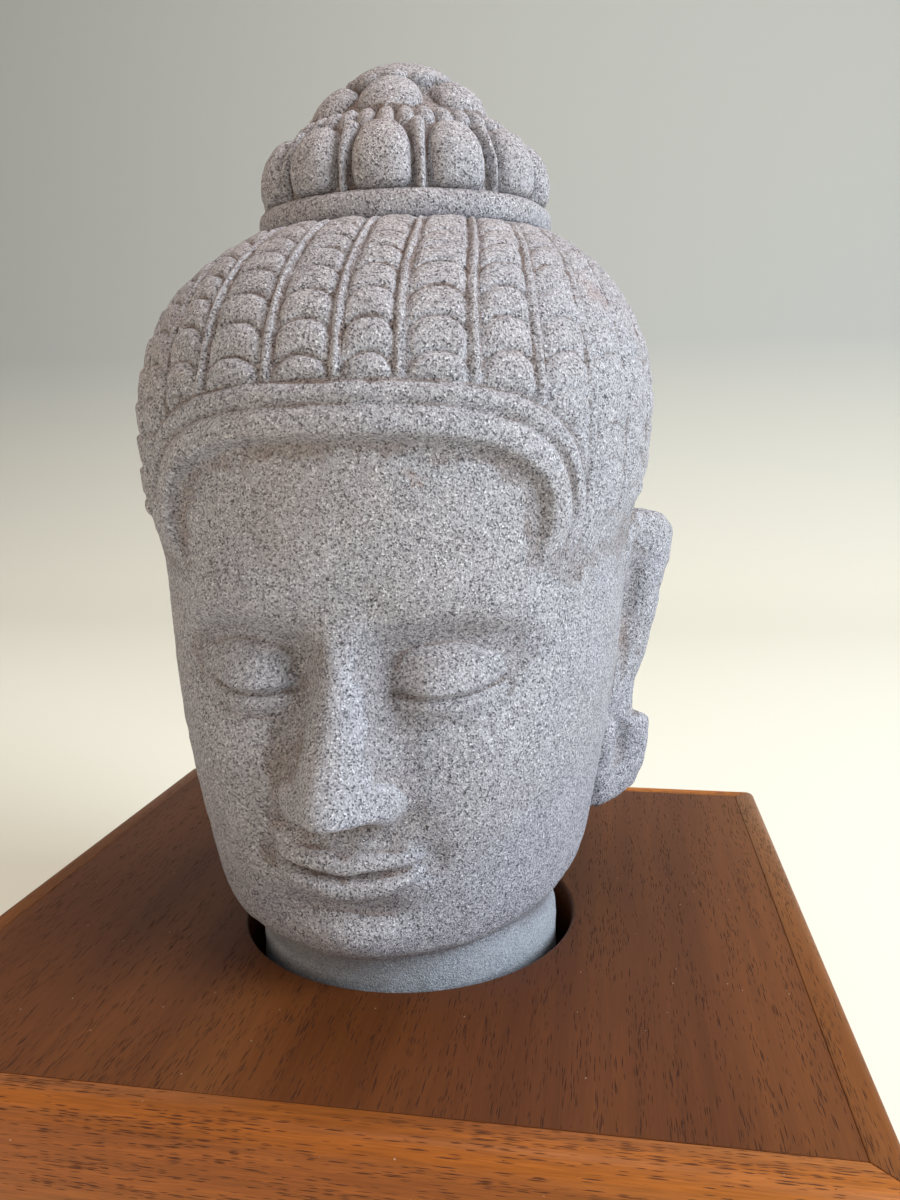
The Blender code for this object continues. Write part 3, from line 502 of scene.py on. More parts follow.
def carved_ear(turn, up, side):
    """Points of one ear, by the turn round its plate and by height from -1 to 1."""
    knots = np.array([-1, -0.95, -0.87, -0.6, -0.48, -0.36, -0.28, 0, 0.45, 0.8, 0.93, 1])
    reach = np.array([2, 10, 16, 19.5, 19.5, 13.5, 13.5, 17, 21.5, 25, 21, 12]) * U
    thick = np.array([0.2, 0.7, 1.0, 1.15, 1.05, 0.8, 0.75, 0.85, 1.0, 1.0, 0.8, 0.2]) * EAR_THICKNESS
    far, depth = curve(up, knots, reach), curve(up, knots, thick)
    across = np.sign(np.cos(turn)) * np.abs(np.cos(turn)) ** 0.8
    along_plate = far / 2 * (1 + across)
    outside = np.clip(np.sin(turn), 0, 1)
    out = depth * np.sign(np.sin(turn)) * np.abs(np.sin(turn)) ** 0.7
    hollow = 3.8 * U * swell(across + 0.15, 0.33) * swell(up - 0.40, 0.34)
    broken = 3.2 * U * swell(across + 0.20, 0.33) * swell(up + 0.58, 0.17)
    out = out - (hollow + broken) * outside
    height = EAR_BOTTOM_HEIGHT + (EAR_TOP_HEIGHT - EAR_BOTTOM_HEIGHT) * (up + 1) / 2
    root_x = EAR_ROOT_X + 1.5 * U * up
    root_y = EAR_ROOT_Y + 2.0 * U * up
    x = root_x + along_plate * math.sin(EAR_FLARE) + out * math.cos(EAR_FLARE)
    y = root_y + along_plate * math.cos(EAR_FLARE) - out * math.sin(EAR_FLARE)
    return settled(np.stack((side * x, y, height), axis=-1))


# Fineness of the visible stone
HEAD_COLUMNS = 960
HEAD_ROWS = 900
HEAD_TRIANGLES = 150000
WEAR_ROUNDS = 3
LID_CUT = 1.1 * U
LIP_CUT = 0.8 * U
FINE_CUT_HALF = 0.75 * U
EAR_COLUMNS = 144
EAR_ROWS = 120
SEAM_REACH = 1.6 * U
SEAM_ROUNDS = 6
GRAIN = 0.30 * MM
HOLLOW_ROUNDS = 24
HOLLOW_DEPTH = 0.25 * MM

# Tones of the stone, and its stains: (place, radius, strength, colour)
GRAIN_TONES = (
    (0.00, (0.060, 0.056, 0.060)),
    (0.16, (0.185, 0.178, 0.185)),
    (0.34, (0.320, 0.310, 0.322)),
    (0.72, (0.415, 0.405, 0.420)),
    (0.94, (0.520, 0.510, 0.525)),
    (1.00, (0.720, 0.710, 0.720)),
)
# Tints from cool to warm: the stone's own tone by height and in patches, and painted light, warm on faces
# turned up and cool shade on faces turned down
TINT_AND_PAINTED_LIGHT_TONES = (
    (0.05, (0.448, 0.480, 0.575)),
    (0.40, (0.498, 0.500, 0.532)),
    (0.95, (0.615, 0.480, 0.415)),
)
STAINS = (
    ((0.0176, -0.0518, 0.1475), 2.6 * MM, 0.60, (0.26, 0.140, 0.095)),
    ((-0.0054, -0.0543, 0.1469), 19.0 * MM, 0.22, (0.36, 0.27, 0.22)),
    ((0.0464, -0.0159, 0.1818), 5.0 * MM, 0.50, (0.33, 0.20, 0.165)),
    ((0.0030, -0.0080, 0.2228), 7.0 * MM, 0.35, (0.30, 0.20, 0.15)),
    ((-0.0299, -0.0457, 0.1498), 1.8 * MM, 0.90, (0.075, 0.065, 0.065)),
    ((0.0265, -0.0435, 0.0564), 1.8 * MM, 0.60, (0.40, 0.29, 0.17)),
    ((0.0165, -0.0518, 0.0829), 4.5 * MM, 0.30, (0.50, 0.41, 0.28)),
)

SPECK_COLOUR = (0.10, 0.09, 0.09)
# Brown darkening of the hollows: dirt, and painted shade in the creases
HOLLOW_DIRT_AND_SHADE_COLOUR = (0.52, 0.39, 0.31)
WORN_COLOUR = (0.62, 0.58, 0.56)
NECK_COLOUR = (0.36, 0.39, 0.42)
DUST_COLOUR = (0.62, 0.50, 0.38)
STONE_RELIEF, WOOD_RELIEF = 0.22 * MM, 0.08 * MM

# Tones of the wood, from the dark streaks to the pale ones, and its pores as length, width, shift
PORES = ((4.6, 0.27, 1.7), (2.6, 0.20, 6.1))
PANEL_TONES = ((0.088, 0.023, 0.005), (0.126, 0.036, 0.008), (0.168, 0.053, 0.012))
# The same board wood painted two ways: bright tones as painted light on the front and back boards, darker
# tones as painted shade on the side boards
LIT_EDGE_TONES = ((0.185, 0.046, 0.007), (0.30, 0.085, 0.013), (0.42, 0.138, 0.024))
SHADED_SIDE_TONES = ((0.130, 0.037, 0.008), (0.190, 0.062, 0.014), (0.258, 0.095, 0.024))

# Tones of the floor and of the wall that it sweeps up into, by height in metres
FLOOR_TONES = ((0.02, (0.88, 0.83, 0.70)), (0.30, (0.51, 0.51, 0.475)))

# Stage: a floor swept up into a wall, the world's light, and lamps as name, place, size, power, colour
STAGE_FRONT, STAGE_BACK, STAGE_HALF_WIDTH = -2.0, 1.2, 3.0
WALL_HEIGHT, SWEEP_RADIUS, SWEEP_STEPS = 2.2, 0.6, 16
WORLD_COLOUR, WORLD_STRENGTH = (0.95, 0.96, 1.0, 1), 0.29
LIGHT_AIM = (0, 0, 0.14)
LIGHTS = (
    ("window", (1.1, -0.35, 0.70), 0.8, 23, (0.81, 0.91, 1.0)),
    ("room", (-0.8, -0.7, 0.5), 0.9, 3.6, (1.0, 0.78, 0.55)),
    ("sky", (0.1, 0.2, 1.5), 0.9, 8, (1.0, 0.96, 0.91)),
)

# Fineness and easing of the stand
BOARD_ROUND_STEPS = 10
BOARD_GAP = 0.10 * MM
ARRIS = 0.30 * MM
PANEL_GAP = 0.08 * MM
PANEL_ARRIS = 0.12 * MM
PANEL_STEPS = 60
RIM_STEPS = 6
RIM_ROUND = 0.9 * MM
FLOOR_ROUND = 2.0 * MM

# Camera of the photograph, from the stand's edges
CAMERA_PLACE = (0.0485, -0.2166, 0.1489)
CAMERA_YAW = math.radians(9.54)
CAMERA_PITCH = math.radians(8.64)
CAMERA_ROLL = math.radians(-0.756)
FOCAL_PIXELS = 943.65
FRAME_PIXELS = 1200
SENSOR = 36.0


def value_noise(point, size, seed):
    """Smooth noise of about -1 to 1 with features of this size."""
    place = point / size + 1000.0 + 17.3 * seed
    base = np.floor(place).astype(np.int64)
    part = place - base
    part = part * part * (3 - 2 * part)
    total = np.zeros(len(point))
    for corner in range(8):
        offset = np.array([corner & 1, corner >> 1 & 1, corner >> 2 & 1])
        cell = base + offset
        mixed = cell[:, 0] * 73856093 ^ cell[:, 1] * 19349663 ^ cell[:, 2] * 83492791
        mixed = (mixed ^ (seed * 2654435761)) & 0xFFFFFF
        mixed = (mixed * 1103515245 + 12345) & 0x7FFFFFFF
        mixed = (mixed ^ (mixed >> 13)) * 1540483477 & 0x7FFFFFFF
        weight = np.prod(np.where(offset == 1, part, 1 - part), axis=1)
        total += weight * ((mixed & 0xFFFF) / 32767.5 - 1)
    return total


def points_and_normals(mesh):
    count = len(mesh.vertices)
    point, normal = np.empty(3 * count, np.float32), np.empty(3 * count, np.float32)
    mesh.vertices.foreach_get("co", point)
    mesh.vertex_normals.foreach_get("vector", normal)
    return point.reshape(-1, 3).astype(float), normal.reshape(-1, 3)


def weather(mesh, sizes, heights):
    """Moves the points a little in or out, as hand-cut and worn stone is uneven."""
    point, normal = points_and_normals(mesh)
    lift = np.zeros(len(point))
    for seed, (size, height) in enumerate(zip(sizes, heights)):
        lift += height * value_noise(point, size, seed + 1)
    point = point + normal * lift[:, None]
    mesh.vertices.foreach_set("co", point.astype(np.float32).ravel())
    mesh.update()


def mesh_from(name, points, quads, triangles):
    """Mesh object data from arrays of points, quads and triangles."""
    mesh = bpy.data.meshes.new(name)
    mesh.vertices.add(len(points))
    mesh.vertices.foreach_set("co", points.astype(np.float32).ravel())
    corners = np.concatenate((quads.ravel(), triangles.ravel())).astype(np.int32)
    starts = np.concatenate(
        (4 * np.arange(len(quads)), 4 * len(quads) + 3 * np.arange(len(triangles)))
    )
    mesh.loops.add(len(corners))
    mesh.loops.foreach_set("vertex_index", corners)
    mesh.polygons.add(len(starts))
    mesh.polygons.foreach_set("loop_start", starts.astype(np.int32))
    mesh.update(calc_edges=True)
    mesh.validate()
    return mesh


def rubbed(points, columns, rows, rounds):
    """The points, with small ridges and arrises worn round, as on old stone."""
    grid = points[1:-1].reshape(rows - 1, columns, 3).copy()
    for _ in range(rounds):
        beside = (np.roll(grid, 1, axis=1) + np.roll(grid, -1, axis=1)) / 2
        above = (grid[:-2] + grid[2:]) / 2
        grid[1:-1] = grid[1:-1] / 2 + (beside[1:-1] + above) / 4
    return np.concatenate((points[:1], grid.reshape(-1, 3), points[-1:]))


def ring_faces(rings, columns):
    """Quads between closed rings of points, and triangles to the pole before and after them."""
    row, column = np.meshgrid(np.arange(rings - 1), np.arange(columns), indexing="ij")
    here = 1 + row * columns + column
    beside = 1 + row * columns + (column + 1) % columns
    quads = np.stack((here, beside, beside + columns, here + columns), axis=-1).reshape(-1, 4)
    ring = np.arange(columns)
    following = (ring + 1) % columns
    last = 1 + (rings - 1) * columns
    first_pole, last_pole = np.zeros(columns, int), np.full(columns, last + columns)
    bottom = np.stack((first_pole, 1 + following, 1 + ring), axis=-1)
    top = np.stack((last_pole, last + ring, last + following), axis=-1)
    return quads, np.concatenate((bottom, top))


def shaped_ball(name, columns, rows, shape, rounds=0, mirrored=False):
    """A closed mesh of rings between two poles, with its points at shape(azimuth, share)."""
    turn = (1 + np.arange(columns) / columns * 2) % 2 * math.pi - math.pi
    share = np.arange(1, rows) / rows
    azimuth = np.concatenate(([0], np.tile(turn, rows - 1), [0]))
    share = np.concatenate(([0], np.repeat(share, columns), [1]))
    points = rubbed(shape(azimuth, share), columns, rows, rounds)
    quads, triangles = ring_faces(rows - 1, columns)
    if mirrored:
        quads, triangles = quads[:, ::-1], triangles[:, ::-1]
    return mesh_from(name, points, quads, triangles)


def linked(name, data):
    """A new object of the scene with this data."""
    thing = bpy.data.objects.new(name, data)
    bpy.context.scene.collection.objects.link(thing)
    return thing


def new_piece(name, mesh, material):
    """Object that rides on the part, with its material and slot."""
    thing = linked(name, mesh)
    mesh.materials.clear()
    mesh.materials.append(material)
    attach(thing, "root")
    return thing


def finished(thing):
    """New mesh with the object's modifiers applied."""
    graph = bpy.context.evaluated_depsgraph_get()
    return bpy.data.meshes.new_from_object(thing.evaluated_get(graph))


def tree_of(mesh):
    """Search tree over a mesh, for distances to it."""
    points = np.empty(3 * len(mesh.vertices), np.float32)
    mesh.vertices.foreach_get("co", points)
    mesh.calc_loop_triangles()
    corners = np.empty(3 * len(mesh.loop_triangles), np.int32)
    mesh.loop_triangles.foreach_get("vertices", corners)
    return BVHTree.FromPolygons(points.reshape(-1, 3).tolist(), corners.reshape(-1, 3).tolist())


def soften_seam(mesh, head_tree, ear_trees):
    """Rounds the stone where the ears leave the head."""
    bm = bmesh.new()
    bm.from_mesh(mesh)
    near = []
    for vertex in bm.verts:
        if abs(vertex.co.x) < EAR_ROOT_X - 4 * U:
            continue
        for tree in ear_trees:
            if tree.find_nearest(vertex.co, SEAM_REACH)[0] is None:
                continue
            if head_tree.find_nearest(vertex.co, SEAM_REACH)[0] is not None:
                near.append(vertex)
                break
    for _ in range(SEAM_ROUNDS):
        bmesh.ops.smooth_vert(
            bm, verts=near, factor=0.5, use_axis_x=True, use_axis_y=True, use_axis_z=True
        )
    bm.to_mesh(mesh)
    bm.free()


def mark_hollows(mesh):
    """Keeps in each point how far it lies below (above 0.5) or over the smoothed surface."""
    point, normal = points_and_normals(mesh)
    count = len(point)
    edge = np.empty(2 * len(mesh.edges), np.int32)
    mesh.edges.foreach_get("vertices", edge)
    first, second = edge.reshape(-1, 2).T
    ends, others = np.concatenate((first, second)), np.concatenate((second, first))
    neighbours = np.maximum(np.bincount(ends, minlength=count), 1)
    smooth = point.copy()
    for _ in range(HOLLOW_ROUNDS):
        for axis in range(3):
            mean = np.bincount(ends, weights=smooth[others, axis], minlength=count) / neighbours
            smooth[:, axis] = (smooth[:, axis] + mean) / 2
    depth = ((smooth - point) * normal).sum(axis=1) / HOLLOW_DEPTH
    mark = mesh.attributes.new("hollow", "FLOAT", "POINT")
    mark.data.foreach_set("value", np.clip(0.5 + depth / 2, 0, 1).astype(np.float32))


def fine_face(x, z):
    """Lids and lips cut a little crisper than the solid has them, as depth towards the front."""
    along = (np.abs(x) - EYE_WIDTH) / (0.53 * EYE_WIDTH)
    within = np.clip(1 - along**2, 0, 1)
    slit = z - EYE_HEIGHT + 1.6 * U + 2.0 * U * within - 0.5 * U * along
    crease = z - EYE_HEIGHT - 3.6 * U - 2.6 * U * within
    lids = -LID_CUT * swell(slit, FINE_CUT_HALF) * within**0.3
    lids = lids + 0.5 * LID_CUT * swell(slit - 1.9 * FINE_CUT_HALF, FINE_CUT_HALF) * within**0.3
    lids = lids - 0.5 * LID_CUT * swell(crease, FINE_CUT_HALF) * within**0.5
    side = np.abs(x) / (MOUTH_WIDTH / 2)
    seam = z - MOUTH_HEIGHT - 1.5 * U * side**2 + 0.5 * U * swell(x, 3 * U)
    lips = -LIP_CUT * swell(seam, FINE_CUT_HALF) * np.clip(1 - side**2, 0, 1) ** 0.3
    return lids + lips


def fine_head(azimuth, share):
    """The carved head, with the fine cuts of its face."""
    blank = Blank()
    flat = blank.point(azimuth, share * blank.knots[-1])
    carved = carved_head(azimuth, share)
    ahead = 1 - step(math.radians(55), math.radians(70), np.abs(azimuth))
    carved[:, 1] -= fine_face(flat[:, 0], flat[:, 2]) * ahead
    return carved


def build_head(material):
    """The finely carved head that stands for the faceted one."""
    fine = shaped_ball("head_fine", HEAD_COLUMNS, HEAD_ROWS, fine_head, rounds=WEAR_ROUNDS)
    weather(fine, (11 * U, 4 * U, 1.6 * U), (0.16 * U, 0.13 * U, 0.10 * U))
    rough = linked("head_fine", fine)
    reduce = rough.modifiers.new("fewer triangles", "DECIMATE")
    reduce.ratio = HEAD_TRIANGLES / (2 * HEAD_COLUMNS * (HEAD_ROWS - 1))
    head_mesh = finished(rough)
    bpy.data.objects.remove(rough)
    joined = linked("head_joined", head_mesh)
    head_tree, ear_trees, ears = tree_of(head_mesh), [], []
    for name, side in (("ear_left", 1), ("ear_right", -1)):

        def shape(azimuth, share, side=side):
            return carved_ear(azimuth, 2 * share - 1, side)

        ear_mesh = shaped_ball(name, EAR_COLUMNS, EAR_ROWS, shape, mirrored=side > 0)
        weather(ear_mesh, (6 * U, 2.4 * U), (0.35 * U, 0.25 * U))
        ear_trees.append(tree_of(ear_mesh))
        ears.append(linked(name, ear_mesh))
        union = joined.modifiers.new(name, "BOOLEAN")
        union.operation, union.solver, union.object = "UNION", "MANIFOLD", ears[-1]
    mesh = finished(joined)
    for thing in [joined, *ears]:
        bpy.data.objects.remove(thing)
    soften_seam(mesh, head_tree, ear_trees)
    mark_hollows(mesh)
    mesh.shade_smooth()
    head = new_piece("carved_head", mesh, material)
    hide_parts("stone_head")


class Shader:
    """A material's node tree, with short calls to add and join nodes."""

    def __init__(self, name):
        self.material = bpy.data.materials.new(name)
        self.material.use_nodes = True
        self.tree = self.material.node_tree
        self.tree.nodes.clear()
        self.output = self.add("ShaderNodeOutputMaterial")
        self.bsdf = self.add("ShaderNodeBsdfPrincipled")
        self.join(self.bsdf.outputs[0], self.output.inputs["Surface"])
        self.place = self.add("ShaderNodeTexCoord").outputs["Object"]

    def add(self, kind, **settings):
        node = self.tree.nodes.new(kind)
        for key, value in settings.items():
            setattr(node, key, value)
        return node

    def join(self, source, target):
        if isinstance(source, bpy.types.NodeSocket):
            self.tree.links.new(source, target)
        else:
            target.default_value = source

    def math(self, operation, *values, clamp=False):
        node = self.add("ShaderNodeMath", operation=operation, use_clamp=clamp)
        for value, socket in zip(values, node.inputs):
            self.join(value, socket)
        return node.outputs[0]

    def times(self, first, second):
        return self.math("MULTIPLY", first, second)

    def texture(self, kind, place, size):
        node = self.add(kind)
        self.join(place, node.inputs["Vector"])
        node.inputs["Scale"].default_value = 1 / size
        return node

    def noise(self, place, size, detail=2.0, roughness=0.5):
        node = self.texture("ShaderNodeTexNoise", place, size)
        node.inputs["Detail"].default_value = detail
        node.inputs["Roughness"].default_value = roughness
        return node.outputs["Fac"]

    def cells(self, place, size):
        return self.texture("ShaderNodeTexVoronoi", place, size).outputs

    def ramp(self, value, stops):
        """Colour or grey by value, from (place, colour or grey) stops."""
        node = self.add("ShaderNodeValToRGB")
        self.join(value, node.inputs["Fac"])
        elements = node.color_ramp.elements
        for index, (place, colour) in enumerate(stops):
            colour = (colour,) * 3 if isinstance(colour, (int, float)) else colour
            element = elements[index] if index < 2 else elements.new(place)
            element.position = place
            element.color = (*colour, 1)
        return node.outputs["Color"]

    def mix(self, share, first, second, blend="MIX"):
        node = self.add("ShaderNodeMix", data_type="RGBA", blend_type=blend)
        self.join(share, node.inputs[0])
        for colour, socket in ((first, node.inputs[6]), (second, node.inputs[7])):
            if not isinstance(colour, bpy.types.NodeSocket):
                colour = (*colour, 1) if len(colour) == 3 else colour
            self.join(colour, socket)
        return node.outputs[2]

    def stretched(self, scale, move):
        node = self.add("ShaderNodeMapping")
        self.join(self.place, node.inputs["Vector"])
        node.inputs["Scale"].default_value = scale
        node.inputs["Location"].default_value = move
        return node.outputs[0]

    def first(self, colour):
        """The red of a colour, as a number."""
        node = self.add("ShaderNodeSeparateColor")
        self.join(colour, node.inputs[0])
        return node.outputs[0]

    def wobbled(self, place, size, amount):
        """The place, moved about by noise of this size."""
        noise = self.texture("ShaderNodeTexNoise", place, size)
        spread = self.add("ShaderNodeVectorMath", operation="MULTIPLY_ADD")
        self.join(noise.outputs["Color"], spread.inputs[0])
        spread.inputs[1].default_value = (2 * amount,) * 3
        self.join(place, spread.inputs[2])
        return spread.outputs[0]

    def axis(self, index):
        node = self.add("ShaderNodeSeparateXYZ")
        self.join(self.place, node.inputs[0])
        return node.outputs[index]

    def bump(self, height, distance, strength=1.0):
        node = self.add("ShaderNodeBump")
        node.inputs["Strength"].default_value = strength
        node.inputs["Distance"].default_value = distance
        self.join(height, node.inputs["Height"])
        self.join(node.outputs[0], self.bsdf.inputs["Normal"])


def sandstone():
    """Speckled sandstone: fine grains, a tint warmer higher up and in patches, painted warm light on faces
    turned up and painted cool shade on faces turned down, and brown dirt with painted shade in the
    hollows.
    """
    s = Shader("sandstone")
    grain = s.cells(s.wobbled(s.place, 0.8 * GRAIN, 0.6 * GRAIN), GRAIN)
    grains = s.ramp(s.first(grain["Color"]), GRAIN_TONES)
    clumps = s.noise(s.place, 2.0 * GRAIN, detail=3.0, roughness=0.75)
    grains = s.mix(0.50, grains, s.ramp(clumps, ((0.3, 0.37), (0.7, 0.62))), "OVERLAY")
    specks = s.cells(s.wobbled(s.place, 1.2 * GRAIN, GRAIN), 3.0 * GRAIN)
    dark = s.times(s.ramp(specks["Distance"], ((0.10, 1.0), (0.24, 0.0))), 0.60)
    dark = s.times(dark, s.math("LESS_THAN", s.first(specks["Color"]), 0.20))
    grains = s.mix(dark, grains, SPECK_COLOUR)
    patches = s.noise(s.place, 40 * MM, detail=3.0, roughness=0.6)
    upward = s.add("ShaderNodeSeparateXYZ")
    s.join(s.add("ShaderNodeNewGeometry").outputs["Normal"], upward.inputs[0])
    height = s.math("DIVIDE", s.axis(2), STAND_HEIGHT + HEAD_HEIGHT)
    # Painted light: faces turned up are tinted warm and faces turned down cool; height and patches add the
    # stone's own tone
    warmth_and_painted_light = s.times(upward.outputs[2], 0.35)
    warmth_and_painted_light = s.math("ADD", warmth_and_painted_light, s.times(height, 0.55))
    warmth_and_painted_light = s.math("ADD", warmth_and_painted_light, s.times(patches, 0.9))
    warmth_and_painted_light = s.math("SUBTRACT", warmth_and_painted_light, 0.42, clamp=True)
    colour = s.mix(0.75, grains, s.ramp(warmth_and_painted_light, TINT_AND_PAINTED_LIGHT_TONES), "SOFT_LIGHT")
    mottle = s.noise(s.place, 7 * MM, detail=4.0, roughness=0.6)
    colour = s.mix(0.5, colour, s.ramp(mottle, ((0.30, 0.44), (0.70, 0.56))), "OVERLAY")
    hollow = s.add("ShaderNodeAttribute", attribute_name="hollow").outputs["Fac"]
    # Brown in the hollows, stronger where the tint is warm: dirt, and painted shade in the creases
    dirt_and_shade = s.ramp(hollow, ((0.50, 0.0), (0.70, 1.0)))
    dirt_and_shade = s.times(dirt_and_shade, s.ramp(warmth_and_painted_light, ((0.1, 0.20), (0.6, 0.85))))
    spread = s.noise(s.place, 9 * MM, detail=3.0)
    dirt_and_shade = s.times(dirt_and_shade, s.ramp(spread, ((0.35, 0.40), (0.60, 1.0))))
    colour = s.mix(dirt_and_shade, colour, HOLLOW_DIRT_AND_SHADE_COLOUR, "MULTIPLY")
    worn = s.times(s.ramp(hollow, ((0.10, 1.0), (0.48, 0.0))), 0.30)
    colour = s.mix(worn, colour, WORN_COLOUR, "SOFT_LIGHT")
    loose = s.wobbled(s.place, 1.6 * MM, 2.4 * MM)
    for place, radius, strength, stain in STAINS:
        from_centre = s.add("ShaderNodeVectorMath", operation="DISTANCE")
        s.join(loose, from_centre.inputs[0])
        from_centre.inputs[1].default_value = place
        near = s.math("DIVIDE", from_centre.outputs["Value"], radius)
        near = s.math("SUBTRACT", 1, near, clamp=True)
        near = s.times(s.math("POWER", near, 0.7), strength)
        colour = s.mix(near, colour, stain)
    neck = s.ramp(s.math("DIVIDE", s.axis(2), 100 * MM), ((0.46, 0.55), (0.54, 0.0)))
    colour = s.mix(neck, colour, NECK_COLOUR)
    s.join(colour, s.bsdf.inputs["Base Color"])
    s.bsdf.inputs["Roughness"].default_value = 0.85
    s.bsdf.inputs["Specular IOR Level"].default_value = 0.25
    relief = s.math("ADD", grain["Distance"], s.times(clumps, 0.9))
    relief = s.math("SUBTRACT", relief, dark)
    s.bump(relief, STONE_RELIEF, 0.8)
    return s.material


def wood(name, along, tones, pore_colour, pore_share, roughness, contrast):
    """Hardwood with its grain along one axis (0 for X, 1 for Y), short dark pores and fine dust."""
    s = Shader(name)

    def squeezed(length, width, move=0.0):
        scale = [1 / width] * 3
        scale[along] = 1 / length
        return s.stretched(tuple(scale), move=(move, move, move))

    figure = s.noise(squeezed(320 * MM, 26 * MM), 1, detail=4.0, roughness=0.55)
    streak = s.noise(squeezed(60 * MM, 1.6 * MM, 3.1), 1, detail=4.0, roughness=0.65)
    fibre = s.noise(squeezed(7 * MM, 0.28 * MM, 5.3), 1, detail=3.0, roughness=0.6)
    base = s.ramp(figure, tuple(zip((0.30, 0.50, 0.70), tones)))
    dark, pale = 0.5 - 0.12 * contrast, 0.5 + 0.12 * contrast
    base = s.mix(0.7, base, s.ramp(streak, ((0.25, dark), (0.75, pale))), "OVERLAY")
    base = s.mix(0.8, base, s.ramp(fibre, ((0.2, dark), (0.8, pale))), "OVERLAY")
    crowded = s.noise(squeezed(34 * MM, 3.0 * MM, 8.9), 1, detail=3.0, roughness=0.6)
    share = s.times(s.ramp(crowded, ((0.42, 0.06), (0.66, 1.0))), pore_share)
    pore = 0.0
    for length, width, move in PORES:
        dash = s.cells(squeezed(length * MM, width * MM, move), 1)
        chosen = s.math("LESS_THAN", s.first(dash["Color"]), share)
        inside = s.math("SUBTRACT", 1.7, s.times(dash["Distance"], 3.6), clamp=True)
        pore = s.math("MAXIMUM", pore, s.times(chosen, s.math("POWER", inside, 0.6)))
    base = s.mix(s.times(pore, 0.85), base, pore_colour)
    speck = s.cells(s.stretched((1 / (5 * MM),) * 3, move=(2.0, 6.0, 4.0)), 1)["Distance"]
    base = s.mix(s.ramp(speck, ((0.024, 0.5), (0.040, 0.0))), base, DUST_COLOUR)
    s.join(base, s.bsdf.inputs["Base Color"])
    s.join(s.math("ADD", roughness, s.times(pore, 0.3)), s.bsdf.inputs["Roughness"])
    s.bsdf.inputs["Specular IOR Level"].default_value = 0.20
    relief = s.math("SUBTRACT", s.times(fibre, 0.25), pore)
    s.bump(relief, WOOD_RELIEF, 0.6)
    return s.material


def eased(bm, angle, width, segments):
    """Rounds every edge sharper than the angle."""
    sharp = [e for e in bm.edges if e.is_manifold and e.calc_face_angle() > angle]
    bmesh.ops.bevel(
        bm, geom=sharp, offset=width, segments=segments, profile=0.5, affect="EDGES", clamp_overlap=True
    )


def build_board(name, length, reach, quarter_turns, material):
    """A fine edge board: mitred ends, a rounded top edge and eased lower edges."""
    bm = bmesh.new()
    bmesh.ops.create_cube(bm, size=1)
    bmesh.ops.scale(bm, vec=(length, EDGE_THICKNESS, STAND_HEIGHT), verts=bm.verts)
    shift = (0, -(reach - EDGE_THICKNESS / 2), STAND_HEIGHT / 2)
    bmesh.ops.translate(bm, vec=shift, verts=bm.verts)
    outer_top = [
        edge
        for edge in bm.edges
        if all(v.co.y < -reach + EDGE_THICKNESS / 2 and v.co.z > STAND_HEIGHT / 2 for v in edge.verts)
    ]
    bmesh.ops.bevel(
        bm, geom=outer_top, offset=EDGE_ROUND, segments=BOARD_ROUND_STEPS, profile=0.5, affect="EDGES"
    )
    for vertex in bm.verts:
        inward = vertex.co.y + reach
        vertex.co.x = math.copysign(length / 2 - inward - BOARD_GAP / 2, vertex.co.x)
    bmesh.ops.recalc_face_normals(bm, faces=bm.faces)
    eased(bm, math.radians(40), ARRIS, 2)
    bmesh.ops.rotate(
        bm, cent=(0, 0, 0), matrix=Matrix.Rotation(quarter_turns * math.pi / 2, 3, "Z"), verts=bm.verts
    )
    mesh = bpy.data.meshes.new(name)
    bm.to_mesh(mesh)
    bm.free()
    mesh.shade_smooth()
    mesh.set_sharp_from_angle(angle=math.radians(50))
    return new_piece(name, mesh, material)


def rectangle(half_x, half_y, steps):
    """Points round a rectangle from its front left corner, with the same number on each side."""
    share = np.arange(steps) / steps * 2 - 1
    one = np.ones(steps)
    x = np.concatenate((share, one, -share, -one)) * half_x
    y = np.concatenate((-one, share, one, -share)) * half_y
    return np.stack((x, y), axis=-1)


